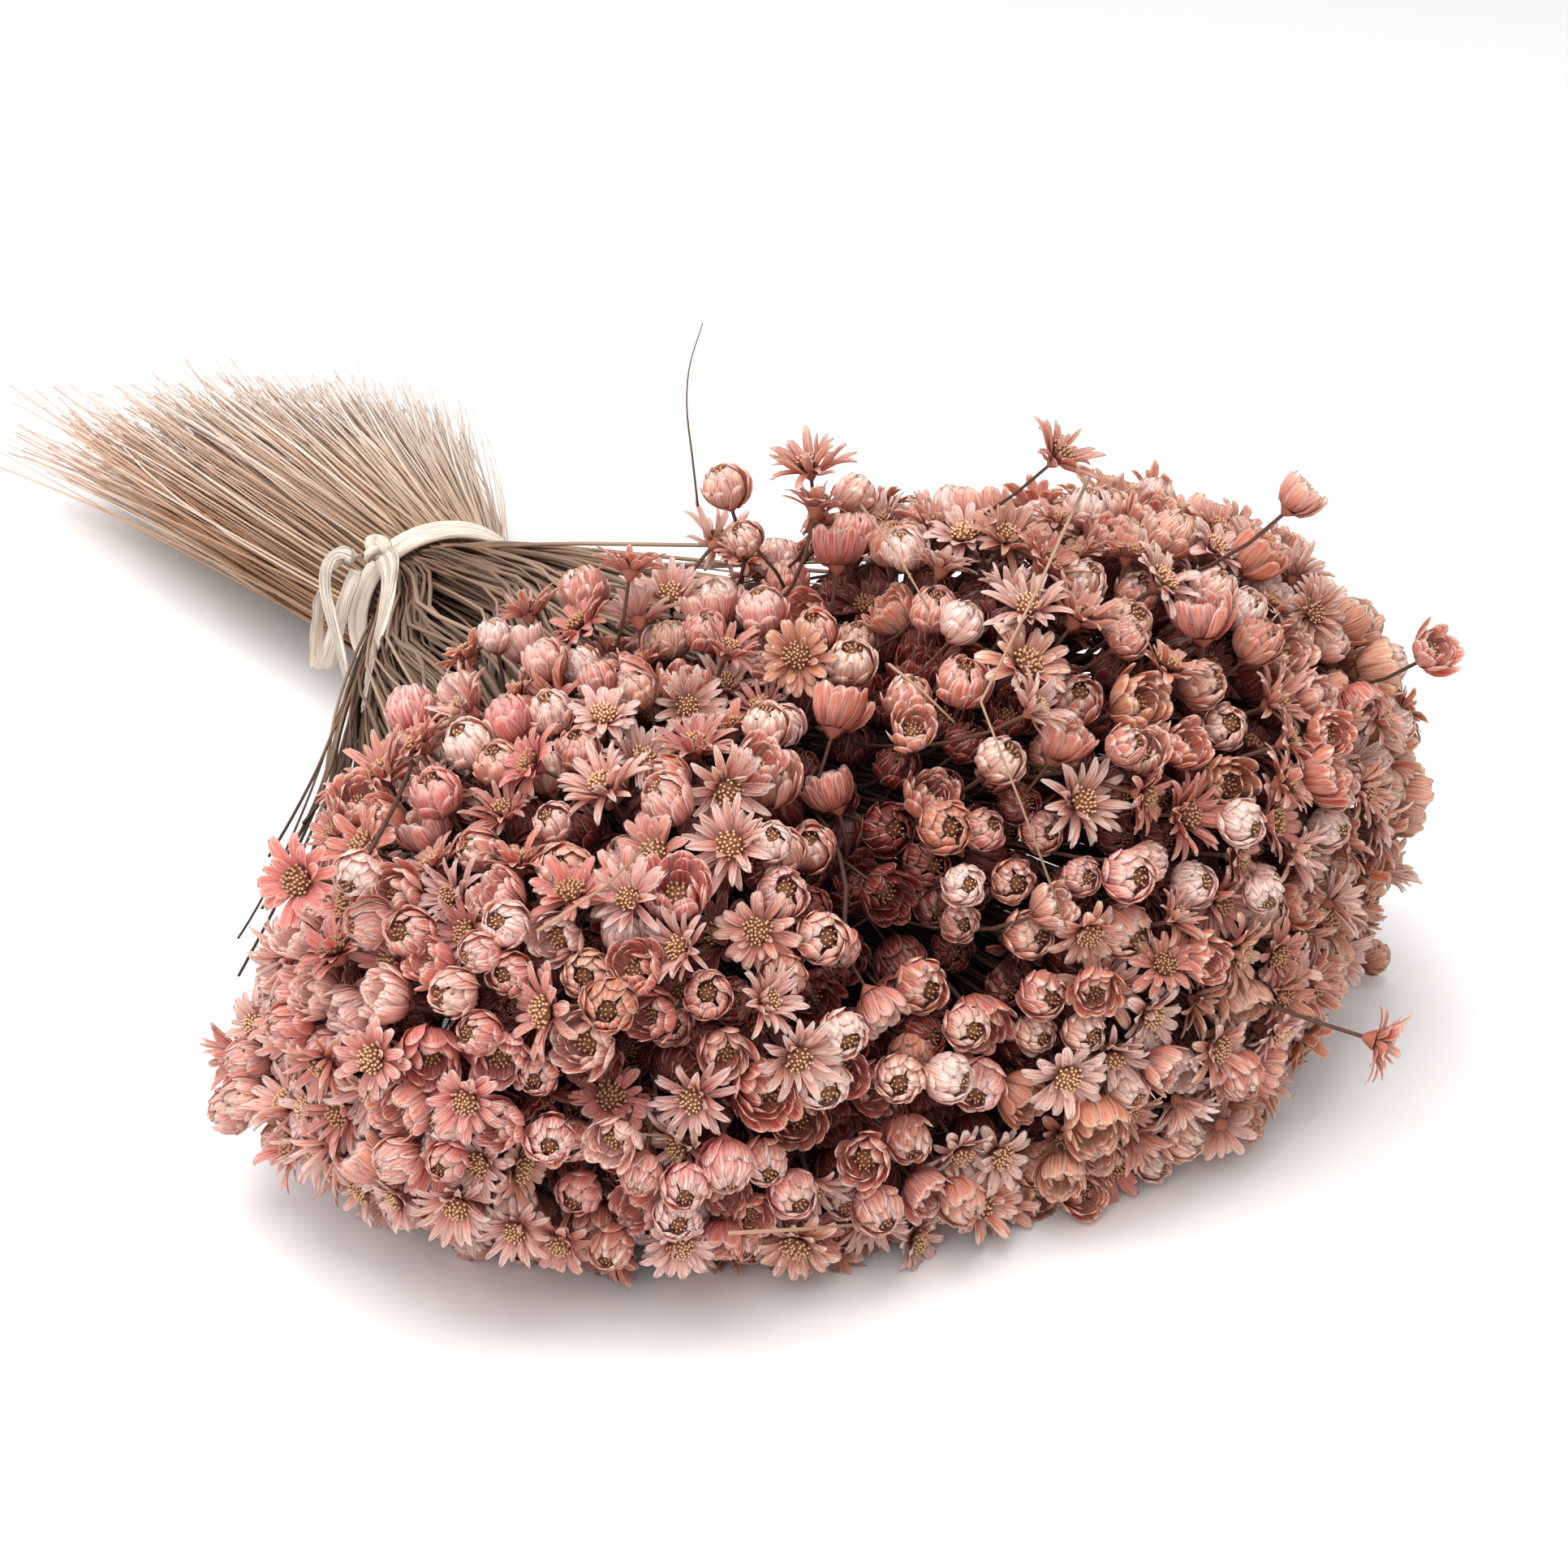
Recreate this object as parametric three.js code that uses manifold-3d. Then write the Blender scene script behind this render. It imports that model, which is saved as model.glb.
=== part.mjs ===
// A bunch of dried glixia, tied with raffia and lying on its side. Millimetres, +Z up.
// +X runs along the bunch from the cut ends to the flowers, and +Y is to the left of someone looking that way.
// Everything is laid out from the middle of the raffia wrap. The finished bunch is then moved so that its
// origin is the middle of its own footprint, on the surface that it lies on.

import * as THREE from "three";
import { ConvexGeometry } from "three/addons/geometries/ConvexGeometry.js";
import { mergeVertices } from "three/addons/utils/BufferGeometryUtils.js";
import Module from "manifold-3d";

const wasm = await Module();
wasm.setup();

// ---- Driving dimensions ----

const GAP = 0.3; // clearance between pieces that touch

// Stems, gathered in sheaves that pack in hexagonal rings where the raffia grips them
const SHEAF_PITCH = 7;
const SHEAF_RINGS = 2;
const SHEAF_SWELL = 0.25; // how much looser a sheaf is where its flowers begin
const TIE_HEIGHT = 28; // middle of the gripped stems above the surface

// Broom of cut ends behind the tie
const BROOM_LENGTH = 166;
const BROOM_HALF_WIDTH = 56;
const BROOM_HALF_HEIGHT = 19;
const BROOM_OFFSET = 9; // the broom leans to the left
const BROOM_SLANT = 30; // how much further back the cut ends reach on the right
const BROOM_TOP_SLANT = 22; // and how much further at the bottom
const BROOM_RAGGED = 7;
const BROOM_TOUCHDOWN = 1.3; // where the lowest stems would meet the surface, over the broom's length
const BROOM_PACKING = 0.93; // share of its place that a sheaf fills in the loose broom
const TIP_SHARE = 0.55; // width of a sheaf at its frayed end
const BROOM_STATIONS = [1, 0.86, 0.55, 0.28]; // where its shape is set, as shares of its length

// Neck of fanned stems between the tie and the flowers. The outer stems fan out to these shares of the
// crown's half width, its rise and its height above the surface.
const NECK_WIDE_SHARE = 0.6;
const NECK_TALL_SHARE = 0.6;
const NECK_LOW_SHARE = 0.72;
const NECK_CURVE = 1.1; // above 1, the stems bend outward on their way
const NECK_STATIONS = [0.16, 0.4, 0.7, 1];

// Crown of flowers, measured from its middle
const CROWN_MIDDLE = 168; // ahead of the tie
const CROWN_OFFSET = 7;
const CROWN_HEIGHT = 38; // above the surface
const CROWN_FRONT = 71;
const CROWN_BACK = 75;
const CROWN_HALF_WIDTH = 110;
const RIGHT_LOBE_RISE = 54;
const LEFT_LOBE_RISE = 74;
const CROWN_DROP = 60; // would reach below the surface, so the lowest flowers are pressed flat
const CROWN_SQUARENESS = 2.5;
const LOBE_BLEND = 12; // over this much width the one rise passes into the other
const RIGHT_LOBE_LEAD = 0.14; // how the right lobe is set forward, over its distance from the middle

// Crevice between the two lobes
const CREVICE_DEPTH = 14;
const CREVICE_HALF_WIDTH = 8;

// Sprays, one to each sheaf: the angle from straight ahead to each ring of them, where their middles lie
// between the crown's middle and its surface, and how far along the bunch their sheaves end
const SPRAY_POLAR = [0, 0.7, 1.43];
const SPRAY_DEPTH_SHARE = 0.8;
const SOCKET_AT = [
  CROWN_MIDDLE + 0.36 * CROWN_FRONT,
  CROWN_MIDDLE + 0.24 * CROWN_FRONT,
  CROWN_MIDDLE - 0.7 * CROWN_BACK,
];

// Flower heads
const HEAD_RADIUS = 8.4;
const HEAD_SIDES = 6;
const HEADS_ALL_ROUND = 210; // on a whole closed crown; the open back has none
const BUD_EVERY = 3; // one head in so many is a closed bud
const CROWN_BACK_LIMIT = -0.47; // how far the flowers wrap round the back, as a cosine
const PRESSED_HEIGHT = 2.4; // middle of a head that is pressed on the surface
const HEAD_SUNK = 0.3; // how deep a head sits in the mass of its spray, over its radius

// Flowers that stand clear of the crown on their own stems
const STRAY_HEAD_RADIUS = 5.5;
const STRAY_STEM_RADIUS = 0.9;
const STRAY_STEM_SIDES = 5;

// Raffia
const WRAP_THICKNESS = 2;
const WRAP_STRAND = 3.8; // width of one strand along the bunch
const WRAP_SOFTNESS = 0.3; // the flat of a strand reaches this share of its width either way
const WRAP_SIDES = 20;
const KNOT_AHEAD = 4; // ahead of the middle of the wrap
const KNOT_SIZE = [5, 4.4, 3]; // half its length along the bunch, round the bunch and outward
const KNOT_AROUND = 2.25; // angle round the bunch from the left over the top
const KNOT_CLEARANCE = 0.9; // between the knot and the wrap
const TAIL_RADIUS = 1.4;
const TAIL_SIDES = 8;

// ---- Materials ----

function matt(color, roughness) {
  return new THREE.MeshStandardMaterial({ color, roughness, metalness: 0 });
}

const stemMaterial = matt(0xb9997a, 0.85);
const pinkMaterial = matt(0xc98f83, 0.8);
const raffiaMaterial = matt(0xe2d3c0, 0.8);

// ---- Solids ----

function mergedGeometry(geometry) {
  const bare = geometry.clone();
  bare.deleteAttribute("normal");
  bare.deleteAttribute("uv");
  return mergeVertices(bare, 1e-4);
}

function toSolid(geometry) {
  const merged = mergedGeometry(geometry);
  const triangles = [];
  for (let i = 0; i < merged.index.count; i += 3) {
    const [a, b, c] = [0, 1, 2].map((k) => merged.index.getX(i + k));
    if (a !== b && b !== c && c !== a) {
      triangles.push(a, b, c);
    }
  }
  const mesh = new wasm.Mesh({
    numProp: 3,
    vertProperties: new Float32Array(merged.attributes.position.array),
    triVerts: new Uint32Array(triangles),
  });
  return new wasm.Manifold(mesh);
}

function toGeometry(solid) {
  const mesh = solid.getMesh();
  const geometry = new THREE.BufferGeometry();
  geometry.setAttribute("position", new THREE.BufferAttribute(new Float32Array(mesh.vertProperties), 3));
  geometry.setIndex(new THREE.BufferAttribute(new Uint32Array(mesh.triVerts), 1));
  return geometry;
}

function moveVertices(geometry, move) {
  const position = geometry.attributes.position;
  for (let i = 0; i < position.count; i += 1) {
    const moved = move(new THREE.Vector3().fromBufferAttribute(position, i));
    position.setXYZ(i, moved.x, moved.y, moved.z);
  }
  return geometry;
}

function aboveSurface(solid) {
  const size = 4 * (BROOM_LENGTH + CROWN_MIDDLE + CROWN_FRONT);
  const slab = new THREE.BoxGeometry(size, size, size).translate(0, 0, -size / 2);
  return solid.subtract(toSolid(slab));
}

// A regular polygon, with its first corner at an angle from the first axis
function polygonShape(radius, sides, turned = 0) {
  const corners = [];
  for (let k = 0; k < sides; k += 1) {
    const angle = turned + (k * 2 * Math.PI) / sides;
    corners.push(new THREE.Vector2(radius * Math.cos(angle), radius * Math.sin(angle)));
  }
  return new THREE.Shape(corners);
}

const bunch = new THREE.Group();

function addPiece(name, geometry, material) {
  const mesh = new THREE.Mesh(geometry, material);
  mesh.name = name;
  bunch.add(mesh);
  return mesh;
}

// ---- Where the sheaves sit in the tie ----

// Cells of a hexagonal packing, ring by ring. Each has its place across the bunch (y to the left, z up).
function sheafCells() {
  const cells = [{ ring: 0, y: 0, z: 0 }];
  for (let ring = 1; ring <= SHEAF_RINGS; ring += 1) {
    for (let side = 0; side < 6; side += 1) {
      for (let step = 0; step < ring; step += 1) {
        const from = (side * Math.PI) / 3;
        const to = ((side + 2) * Math.PI) / 3;
        const y = SHEAF_PITCH * (ring * Math.cos(from) + step * Math.cos(to));
        const z = SHEAF_PITCH * (ring * Math.sin(from) + step * Math.sin(to));
        cells.push({ ring, y, z });
      }
    }
  }
  return cells;
}

const cells = sheafCells();
const HEXAGON_CORNER = (SHEAF_PITCH - GAP) / 2 / Math.cos(Math.PI / 6);
const GRIP_RADIUS = SHEAF_RINGS * SHEAF_PITCH + HEXAGON_CORNER;
const GRIP_HALF_LENGTH = WRAP_STRAND + GAP; // the stems run straight through the wrap

// ---- The crown's surface and its division into sprays ----

function lobeRise(y) {
  const blend = 0.5 + 0.5 * Math.tanh(y / LOBE_BLEND);
  return RIGHT_LOBE_RISE + (LEFT_LOBE_RISE - RIGHT_LOBE_RISE) * blend;
}

const crownMiddle = new THREE.Vector3(CROWN_MIDDLE, CROWN_OFFSET, CROWN_HEIGHT);

function crownPoint(direction, share = 1) {
  const { x, y, z } = direction;
  const power = CROWN_SQUARENESS;
  const sum = Math.abs(x) ** power + Math.abs(y) ** power + Math.abs(z) ** power;
  const reach = share * sum ** (-1 / power);
  const side = CROWN_OFFSET + y * reach * CROWN_HALF_WIDTH;
  const lead = RIGHT_LOBE_LEAD * Math.max(0, CROWN_OFFSET - side);
  const along = CROWN_MIDDLE + lead + x * reach * (x > 0 ? CROWN_FRONT : CROWN_BACK);
  const up = CROWN_HEIGHT + z * reach * (z > 0 ? lobeRise(side) : CROWN_DROP);
  return new THREE.Vector3(along, side, up);
}

// The way outward from the crown's middle to a point on it
function facingAt(surface) {
  return surface.clone().sub(crownMiddle).normalize();
}

function polarDirection(polar, around) {
  const sideways = Math.sin(polar);
  return new THREE.Vector3(Math.cos(polar), sideways * Math.cos(around), sideways * Math.sin(around));
}

cells.forEach((cell) => {
  const direction = polarDirection(SPRAY_POLAR[cell.ring], Math.atan2(cell.z, cell.y));
  cell.site = crownPoint(direction, SPRAY_DEPTH_SHARE);
});

function nearestCell(point) {
  return cells.reduce((best, cell) => (
    cell.site.distanceTo(point) < best.site.distanceTo(point) ? cell : best
  ));
}

// How far a point lies on its own side of the plane halfway between two sprays
function clearOf(point, own, other) {
  const apart = own.site.distanceTo(other.site);
  return (point.distanceToSquared(other.site) - point.distanceToSquared(own.site)) / (2 * apart);
}

function pushInside(point, own, clearance) {
  const pushed = point.clone();
  for (let pass = 0; pass < 3; pass += 1) {
    cells.filter((other) => other !== own).forEach((other) => {
      const missing = clearance - clearOf(pushed, own, other);
      if (missing > 0) {
        const inward = own.site.clone().sub(other.site).normalize();
        pushed.addScaledVector(inward, missing);
      }
    });
    pushed.z = Math.max(pushed.z, PRESSED_HEIGHT);
  }
  return pushed;
}

function creviceSink(point) {
  const across = (point.y - CROWN_OFFSET) / CREVICE_HALF_WIDTH;
  return CREVICE_DEPTH * Math.exp(-across * across);
}

// ---- Stem sheaves ----

function flare(share, reach, start) {
  return 1 + (reach / start - 1) * share;
}

// The middle and the stretch of the whole bundle at a distance along it
function bundleAt(x) {
  const past = Math.max(0, Math.abs(x) - GRIP_HALF_LENGTH);
  if (x < 0) {
    const back = past / (BROOM_LENGTH - GRIP_HALF_LENGTH);
    const tall = flare(back, BROOM_HALF_HEIGHT, GRIP_RADIUS);
    const lifted = (TIE_HEIGHT - GRIP_RADIUS) * (1 - back / BROOM_TOUCHDOWN);
    return {
      y: BROOM_OFFSET * back,
      z: GRIP_RADIUS * tall + lifted,
      wide: flare(back, BROOM_HALF_WIDTH, GRIP_RADIUS),
      tall,
      low: tall,
    };
  }
  const outerCell = SHEAF_RINGS * SHEAF_PITCH;
  const ahead = (past / (SOCKET_AT[SHEAF_RINGS] - GRIP_HALF_LENGTH)) ** NECK_CURVE;
  return {
    y: (CROWN_OFFSET * x) / CROWN_MIDDLE,
    z: TIE_HEIGHT + ((CROWN_HEIGHT - TIE_HEIGHT) * x) / CROWN_MIDDLE,
    wide: flare(ahead, NECK_WIDE_SHARE * CROWN_HALF_WIDTH, outerCell),
    tall: flare(ahead, NECK_TALL_SHARE * RIGHT_LOBE_RISE, outerCell),
    low: flare(ahead, NECK_LOW_SHARE * CROWN_HEIGHT, outerCell),
  };
}

function sheafStation(cell, x, width) {
  const bundle = bundleAt(x);
  return {
    x,
    y: bundle.y + cell.y * bundle.wide,
    z: bundle.z + cell.z * (cell.z > 0 ? bundle.tall : bundle.low),
    halfWidth: HEXAGON_CORNER * width * (x < 0 ? bundle.wide : 1),
    halfHeight: HEXAGON_CORNER * width * (x < 0 ? bundle.tall : 1),
  };
}

// Cut ends reach back unevenly
function ragged(index) {
  const unlikeItsNeighbour = 2.4;
  return BROOM_RAGGED * Math.sin(index * unlikeItsNeighbour);
}

function sheafStations(cell, index) {
  const slant = (BROOM_SLANT * cell.y + BROOM_TOP_SLANT * cell.z) / GRIP_RADIUS;
  const cutEnd = BROOM_LENGTH - slant + ragged(index);
  const outerSocket = SOCKET_AT[SHEAF_RINGS];
  const socket = SOCKET_AT[cell.ring];
  const broom = BROOM_STATIONS.map((share) => (
    sheafStation(cell, -cutEnd * share, share === 1 ? TIP_SHARE : BROOM_PACKING)
  ));
  const grip = [-1, 1].map((side) => sheafStation(cell, side * GRIP_HALF_LENGTH, 1));
  const neck = NECK_STATIONS.map((share) => share * outerSocket);
  const reach = socket > outerSocket ? [...neck, socket] : neck;
  const fan = reach.map((x) => sheafStation(cell, x, 1 + (SHEAF_SWELL * x) / outerSocket));
  return [...broom, ...grip, ...fan];
}

// The outline of a sheaf, with flat sides towards its neighbours
const hexagon = polygonShape(1, 6, Math.PI / 6);

// A straight hexagonal prism, bent and flared from its cut end to its flowers
function sheafGeometry(stations) {
  const steps = stations.length - 1;
  const prism = new THREE.ExtrudeGeometry(hexagon, { depth: steps, steps, bevelEnabled: false });
  return moveVertices(prism, (vertex) => {
    const at = stations[Math.round(vertex.z)];
    return new THREE.Vector3(at.x, at.y + vertex.x * at.halfWidth, at.z + vertex.y * at.halfHeight);
  });
}

cells.forEach((cell, index) => {
  cell.stations = sheafStations(cell, index);
  addPiece(`stem_sheaf_${index + 1}`, mergedGeometry(sheafGeometry(cell.stations)), stemMaterial);
});

// ---- Flower sprays ----

// Outlines of one head from its base to its tip, as shares of its radius: an open star and a closed bud
const OPEN_HEAD = [[0, -0.8], [0.93, 0.3], [0.42, 0.5], [0, 0.42]];
const BUD_HEAD = [[0, -0.85], [0.78, -0.25], [0.66, 0.55], [0, 0.9]];

function headSolid(outline, middle, facing, radius) {
  const profile = outline.map(([out, up]) => new THREE.Vector2(out * radius, up * radius));
  const head = new THREE.LatheGeometry(profile, HEAD_SIDES);
  const turn = new THREE.Quaternion().setFromUnitVectors(new THREE.Vector3(0, 1, 0), facing);
  head.applyQuaternion(turn);
  head.translate(middle.x, middle.y, middle.z);
  return toSolid(head);
}

// Evenly spread directions, on a spiral from the front of the crown to its back
function spiralDirection(index, count) {
  const ahead = 1 - (2 * (index + 0.5)) / count;
  const golden = Math.PI * (3 - Math.sqrt(5));
  return polarDirection(Math.acos(ahead), index * golden);
}

function crownHeads() {
  const heads = [];
  for (let index = 0; index < HEADS_ALL_ROUND; index += 1) {
    const direction = spiralDirection(index, HEADS_ALL_ROUND);
    if (direction.x < CROWN_BACK_LIMIT) {
      continue;
    }
    const surface = crownPoint(direction);
    const facing = facingAt(surface);
    const point = surface.clone().addScaledVector(facing, -HEAD_RADIUS - creviceSink(surface));
    const cell = nearestCell(point);
    const settled = pushInside(point, cell, HEAD_RADIUS + GAP / 2);
    const outline = index % BUD_EVERY === 0 ? BUD_HEAD : OPEN_HEAD;
    heads.push({ cell, point: settled, facing, outline });
  }
  return heads;
}

// Where the clear-standing heads are: angle from straight ahead, angle round from the left over the top,
// and how far they stand out
const STRAYS = [
  { polar: 1.74, around: 1.68, out: 12 },
  { polar: 1.78, around: 1.82, out: 8 },
  { polar: 1.62, around: 1.6, out: 10 },
  { polar: 1.34, around: 1.32, out: 9 },
  { polar: 1.14, around: 1.04, out: 14 },
  { polar: 0.94, around: 0.72, out: 10 },
  { polar: 0.46, around: -0.16, out: 14 },
  { polar: 1.42, around: 2.52, out: 10 },
];

function strayStem(from, to) {
  const shape = polygonShape(STRAY_STEM_RADIUS, STRAY_STEM_SIDES);
  const path = new THREE.LineCurve3(from, to);
  return toSolid(new THREE.ExtrudeGeometry(shape, { steps: 1, extrudePath: path }));
}

function strayHeads() {
  return STRAYS.map(({ polar, around, out }) => {
    const surface = crownPoint(polarDirection(polar, around));
    const facing = facingAt(surface);
    const point = surface.addScaledVector(facing, out);
    const cell = nearestCell(point);
    const settled = pushInside(point, cell, STRAY_HEAD_RADIUS + GAP / 2);
    return { cell, point: settled, facing };
  });
}

// The mass of a spray: packed small flowers and stems from the end of its sheaf out to its heads
function sprayMass(cell, heads) {
  const last = cell.stations[cell.stations.length - 1];
  const socket = hexagon.getPoints().map((corner) => new THREE.Vector3(
    last.x + GAP,
    last.y + corner.x * last.halfWidth,
    last.z + corner.y * last.halfHeight,
  ));
  const deep = heads.map((head) => (
    head.point.clone().addScaledVector(head.facing, -HEAD_SUNK * HEAD_RADIUS)
  ));
  return toSolid(new ConvexGeometry([...socket, ...deep]));
}

const heads = crownHeads();
const strays = strayHeads();

cells.forEach((cell, index) => {
  const own = heads.filter((head) => head.cell === cell);
  let spray = sprayMass(cell, own);
  own.forEach((head) => {
    spray = spray.add(headSolid(head.outline, head.point, head.facing, HEAD_RADIUS));
  });
  strays.filter((stray) => stray.cell === cell).forEach((stray) => {
    spray = spray.add(strayStem(cell.site, stray.point));
    spray = spray.add(headSolid(OPEN_HEAD, stray.point, stray.facing, STRAY_HEAD_RADIUS));
  });
  addPiece(`flower_spray_${index + 1}`, toGeometry(aboveSurface(spray)), pinkMaterial);
});

// ---- Raffia tie ----

// One strand of the wrap: a soft-edged ring round the gripped stems
function wrapGeometry() {
  const inner = (GRIP_RADIUS + GAP) / Math.cos(Math.PI / WRAP_SIDES);
  const half = WRAP_STRAND / 2;
  const soft = WRAP_SOFTNESS * WRAP_STRAND;
  const profile = [
    [inner, -half],
    [inner + WRAP_THICKNESS, -soft],
    [inner + WRAP_THICKNESS, soft],
    [inner, half],
    [inner, -half],
  ].map(([out, along]) => new THREE.Vector2(out, along));
  return new THREE.LatheGeometry(profile, WRAP_SIDES).rotateZ(-Math.PI / 2);
}

[-1, 1].forEach((side, index) => {
  const wrap = addPiece(`raffia_wrap_${index + 1}`, mergedGeometry(wrapGeometry()), raffiaMaterial);
  wrap.position.set((side * (WRAP_STRAND + GAP)) / 2, 0, TIE_HEIGHT);
});

const knotOut = GRIP_RADIUS + GAP + WRAP_THICKNESS + KNOT_CLEARANCE + KNOT_SIZE[2];
const knot = new THREE.SphereGeometry(1, 12, 8).scale(...KNOT_SIZE).rotateX(KNOT_AROUND - Math.PI / 2);
knot.translate(KNOT_AHEAD, knotOut * Math.cos(KNOT_AROUND), TIE_HEIGHT + knotOut * Math.sin(KNOT_AROUND));
addPiece("raffia_knot", mergedGeometry(knot), raffiaMaterial);

// The two loose ends of the raffia, from the knot to their frayed tips, measured from the middle of the
// wrap. The first arcs out and hangs down the right side, the second lies forward over the fanned stems.
const TAIL_ROUTES = [
  [
    [3.4, -20.6, 17.6], [3, -22.6, 18.4], [3.2, -24.6, 17.8], [4.4, -26.2, 16.1], [6.2, -27.2, 13.8],
    [8.2, -27.6, 11.2], [10.2, -27.7, 8.6], [12.2, -27.7, 6], [14.2, -27.7, 3.4], [16.2, -27.7, 0.8],
    [18, -27.7, -1.8], [19.8, -27.7, -4.4], [21.4, -27.8, -7], [22.8, -28, -9.6], [24, -28.3, -12],
  ],
  [
    [9.8, -15.6, 19.2], [13, -16.2, 19.6], [16.4, -17, 19.7], [19.8, -18.1, 19.5], [23.2, -19.5, 19],
    [26.8, -21.1, 18.3], [30.4, -22.9, 17.5], [34, -24.8, 16.7], [37.6, -26.8, 15.9], [41.2, -28.9, 15],
    [44.8, -31, 14], [48.4, -33, 13], [52, -34.9, 12], [55.6, -36.8, 11], [59, -38.6, 10],
  ],
];

const tails = TAIL_ROUTES.map((route, index) => {
  const path = new THREE.CatmullRomCurve3(route.map((point) => new THREE.Vector3(...point)));
  const settings = { steps: route.length - 1, extrudePath: path };
  const tail = new THREE.ExtrudeGeometry(polygonShape(TAIL_RADIUS, TAIL_SIDES), settings);
  tail.translate(0, 0, TIE_HEIGHT);
  return addPiece(`raffia_tail_${index + 1}`, mergedGeometry(tail), raffiaMaterial);
});

// ---- The bunch's own frame ----

bunch.updateMatrixWorld(true);
const footprint = new THREE.Box3();
bunch.children.filter((piece) => !tails.includes(piece)).forEach((piece) => {
  footprint.expandByObject(piece, true);
});
const middle = footprint.getCenter(new THREE.Vector3());
bunch.position.set(-middle.x, -middle.y, -footprint.min.z);

export default bunch;
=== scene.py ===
# A bunch of dried glixia, tied with raffia and lying on its side.
# Its shapes are worked out in millimetres from the tie, with X towards the flowers, Y to the left and Z up.

import math

import bpy
import numpy as np
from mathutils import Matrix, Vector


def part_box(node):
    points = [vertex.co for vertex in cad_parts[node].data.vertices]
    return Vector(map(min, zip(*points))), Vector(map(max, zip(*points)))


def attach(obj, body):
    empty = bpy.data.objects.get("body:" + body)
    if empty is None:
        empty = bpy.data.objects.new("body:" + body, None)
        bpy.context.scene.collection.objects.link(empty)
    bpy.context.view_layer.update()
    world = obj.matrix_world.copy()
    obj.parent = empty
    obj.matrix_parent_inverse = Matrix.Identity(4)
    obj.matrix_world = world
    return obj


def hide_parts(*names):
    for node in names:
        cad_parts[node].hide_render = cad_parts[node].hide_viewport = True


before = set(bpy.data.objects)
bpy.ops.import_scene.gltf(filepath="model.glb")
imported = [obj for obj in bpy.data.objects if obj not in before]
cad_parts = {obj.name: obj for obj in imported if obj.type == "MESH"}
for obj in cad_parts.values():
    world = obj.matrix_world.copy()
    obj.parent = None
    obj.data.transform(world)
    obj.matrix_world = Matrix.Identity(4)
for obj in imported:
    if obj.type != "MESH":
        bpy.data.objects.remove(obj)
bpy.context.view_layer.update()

# ---- The view ----
# The bunch lies on a plain white table, seen over its flowers with the cut ends at the back. Three broad
# lights and an even white surround leave only soft shadows.

MM = 0.001
wrap_low = np.array(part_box("raffia_wrap_1")[0])
wrap_high = np.array(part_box("raffia_wrap_2")[1])
tie = (wrap_low + wrap_high) / 2 * (1, 1, 0)  # below the middle of the raffia, on the table

CAMERA_FROM_TIE = (0.671, -0.2483, 0.321)
CAMERA_DOWN, CAMERA_TURN = 25, 64
SENSOR_WIDTH, LENS = 36, 84.8

camera = bpy.data.objects.new("camera", bpy.data.cameras.new("camera"))
camera.data.sensor_width = SENSOR_WIDTH
camera.data.lens = LENS
camera.location = tie + CAMERA_FROM_TIE
camera.rotation_euler = (math.radians(90 - CAMERA_DOWN), 0, math.radians(CAMERA_TURN))
bpy.context.scene.collection.objects.link(camera)
bpy.context.scene.camera = camera
bpy.context.scene.view_settings.view_transform = "Standard"


def soft_light(name, place, size, watts, aim):
    light = bpy.data.objects.new(name, bpy.data.lights.new(name, "AREA"))
    light.data.shape = "SQUARE"
    light.data.size = size
    light.data.energy = watts
    light.location = place
    direction = np.array(aim, float) - place
    light.rotation_euler = (
        math.atan2(math.hypot(direction[0], direction[1]), -direction[2]),
        0,
        math.atan2(-direction[0], direction[1]),
    )
    bpy.context.scene.collection.objects.link(light)


soft_light("ceiling", (0.25, -0.3, 1.35), 1.0, 18, (0.05, 0, 0))
soft_light("window", (-0.5, -1.0, 0.7), 0.8, 4, (0.05, 0, 0.05))
soft_light("front", (0.95, -0.55, 0.75), 0.7, 7, (0.08, 0, 0.03))

SURROUND_STRENGTH = 0.66
world = bpy.data.worlds.new("surround")
world.use_nodes = True
surround = world.node_tree.nodes["Background"]
surround.inputs["Color"].default_value = (1, 1, 1, 1)
surround.inputs["Strength"].default_value = SURROUND_STRENGTH
bpy.context.scene.world = world

TABLE_SIZE = 8
TABLE_WHITE = (0.85, 0.845, 0.84, 1)
TABLE_ROUGHNESS = 0.6
bpy.ops.mesh.primitive_plane_add(size=TABLE_SIZE, location=(0, 0, 0))
table = bpy.context.object
table.name = "table"
table_paint = bpy.data.materials.new("white_table")
table_paint.use_nodes = True
table_shader = table_paint.node_tree.nodes["Principled BSDF"]
table_shader.inputs["Base Color"].default_value = TABLE_WHITE
table_shader.inputs["Roughness"].default_value = TABLE_ROUGHNESS
table.data.materials.append(table_paint)

# ---- Raffia: its two loose ends ----
# Raffia is the peeled skin of a palm leaf, a cream strip a few millimetres wide that splits into fibres
# along its length. From the knot one end arcs out and hangs down the side, the other lies on the stems.

MAP = "OFBake"  # every piece carries one map: across the strip or petal, then along it


class Wire:
    """A socket of a finish. Arithmetic on it adds Math nodes."""

    def __init__(self, finish, socket):
        self.finish = finish
        self.socket = socket

    def math(self, operation, *values):
        return self.finish.node("Math", {"operation": operation}, dict(enumerate(values)))

    def __add__(self, other):
        return self.math("ADD", self, other)

    def __sub__(self, other):
        return self.math("SUBTRACT", self, other)

    def __rsub__(self, other):
        return self.math("SUBTRACT", other, self)

    def __mul__(self, other):
        return self.math("MULTIPLY", self, other)

    def __truediv__(self, other):
        return self.math("DIVIDE", self, other)

    __radd__ = __add__
    __rmul__ = __mul__


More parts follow.
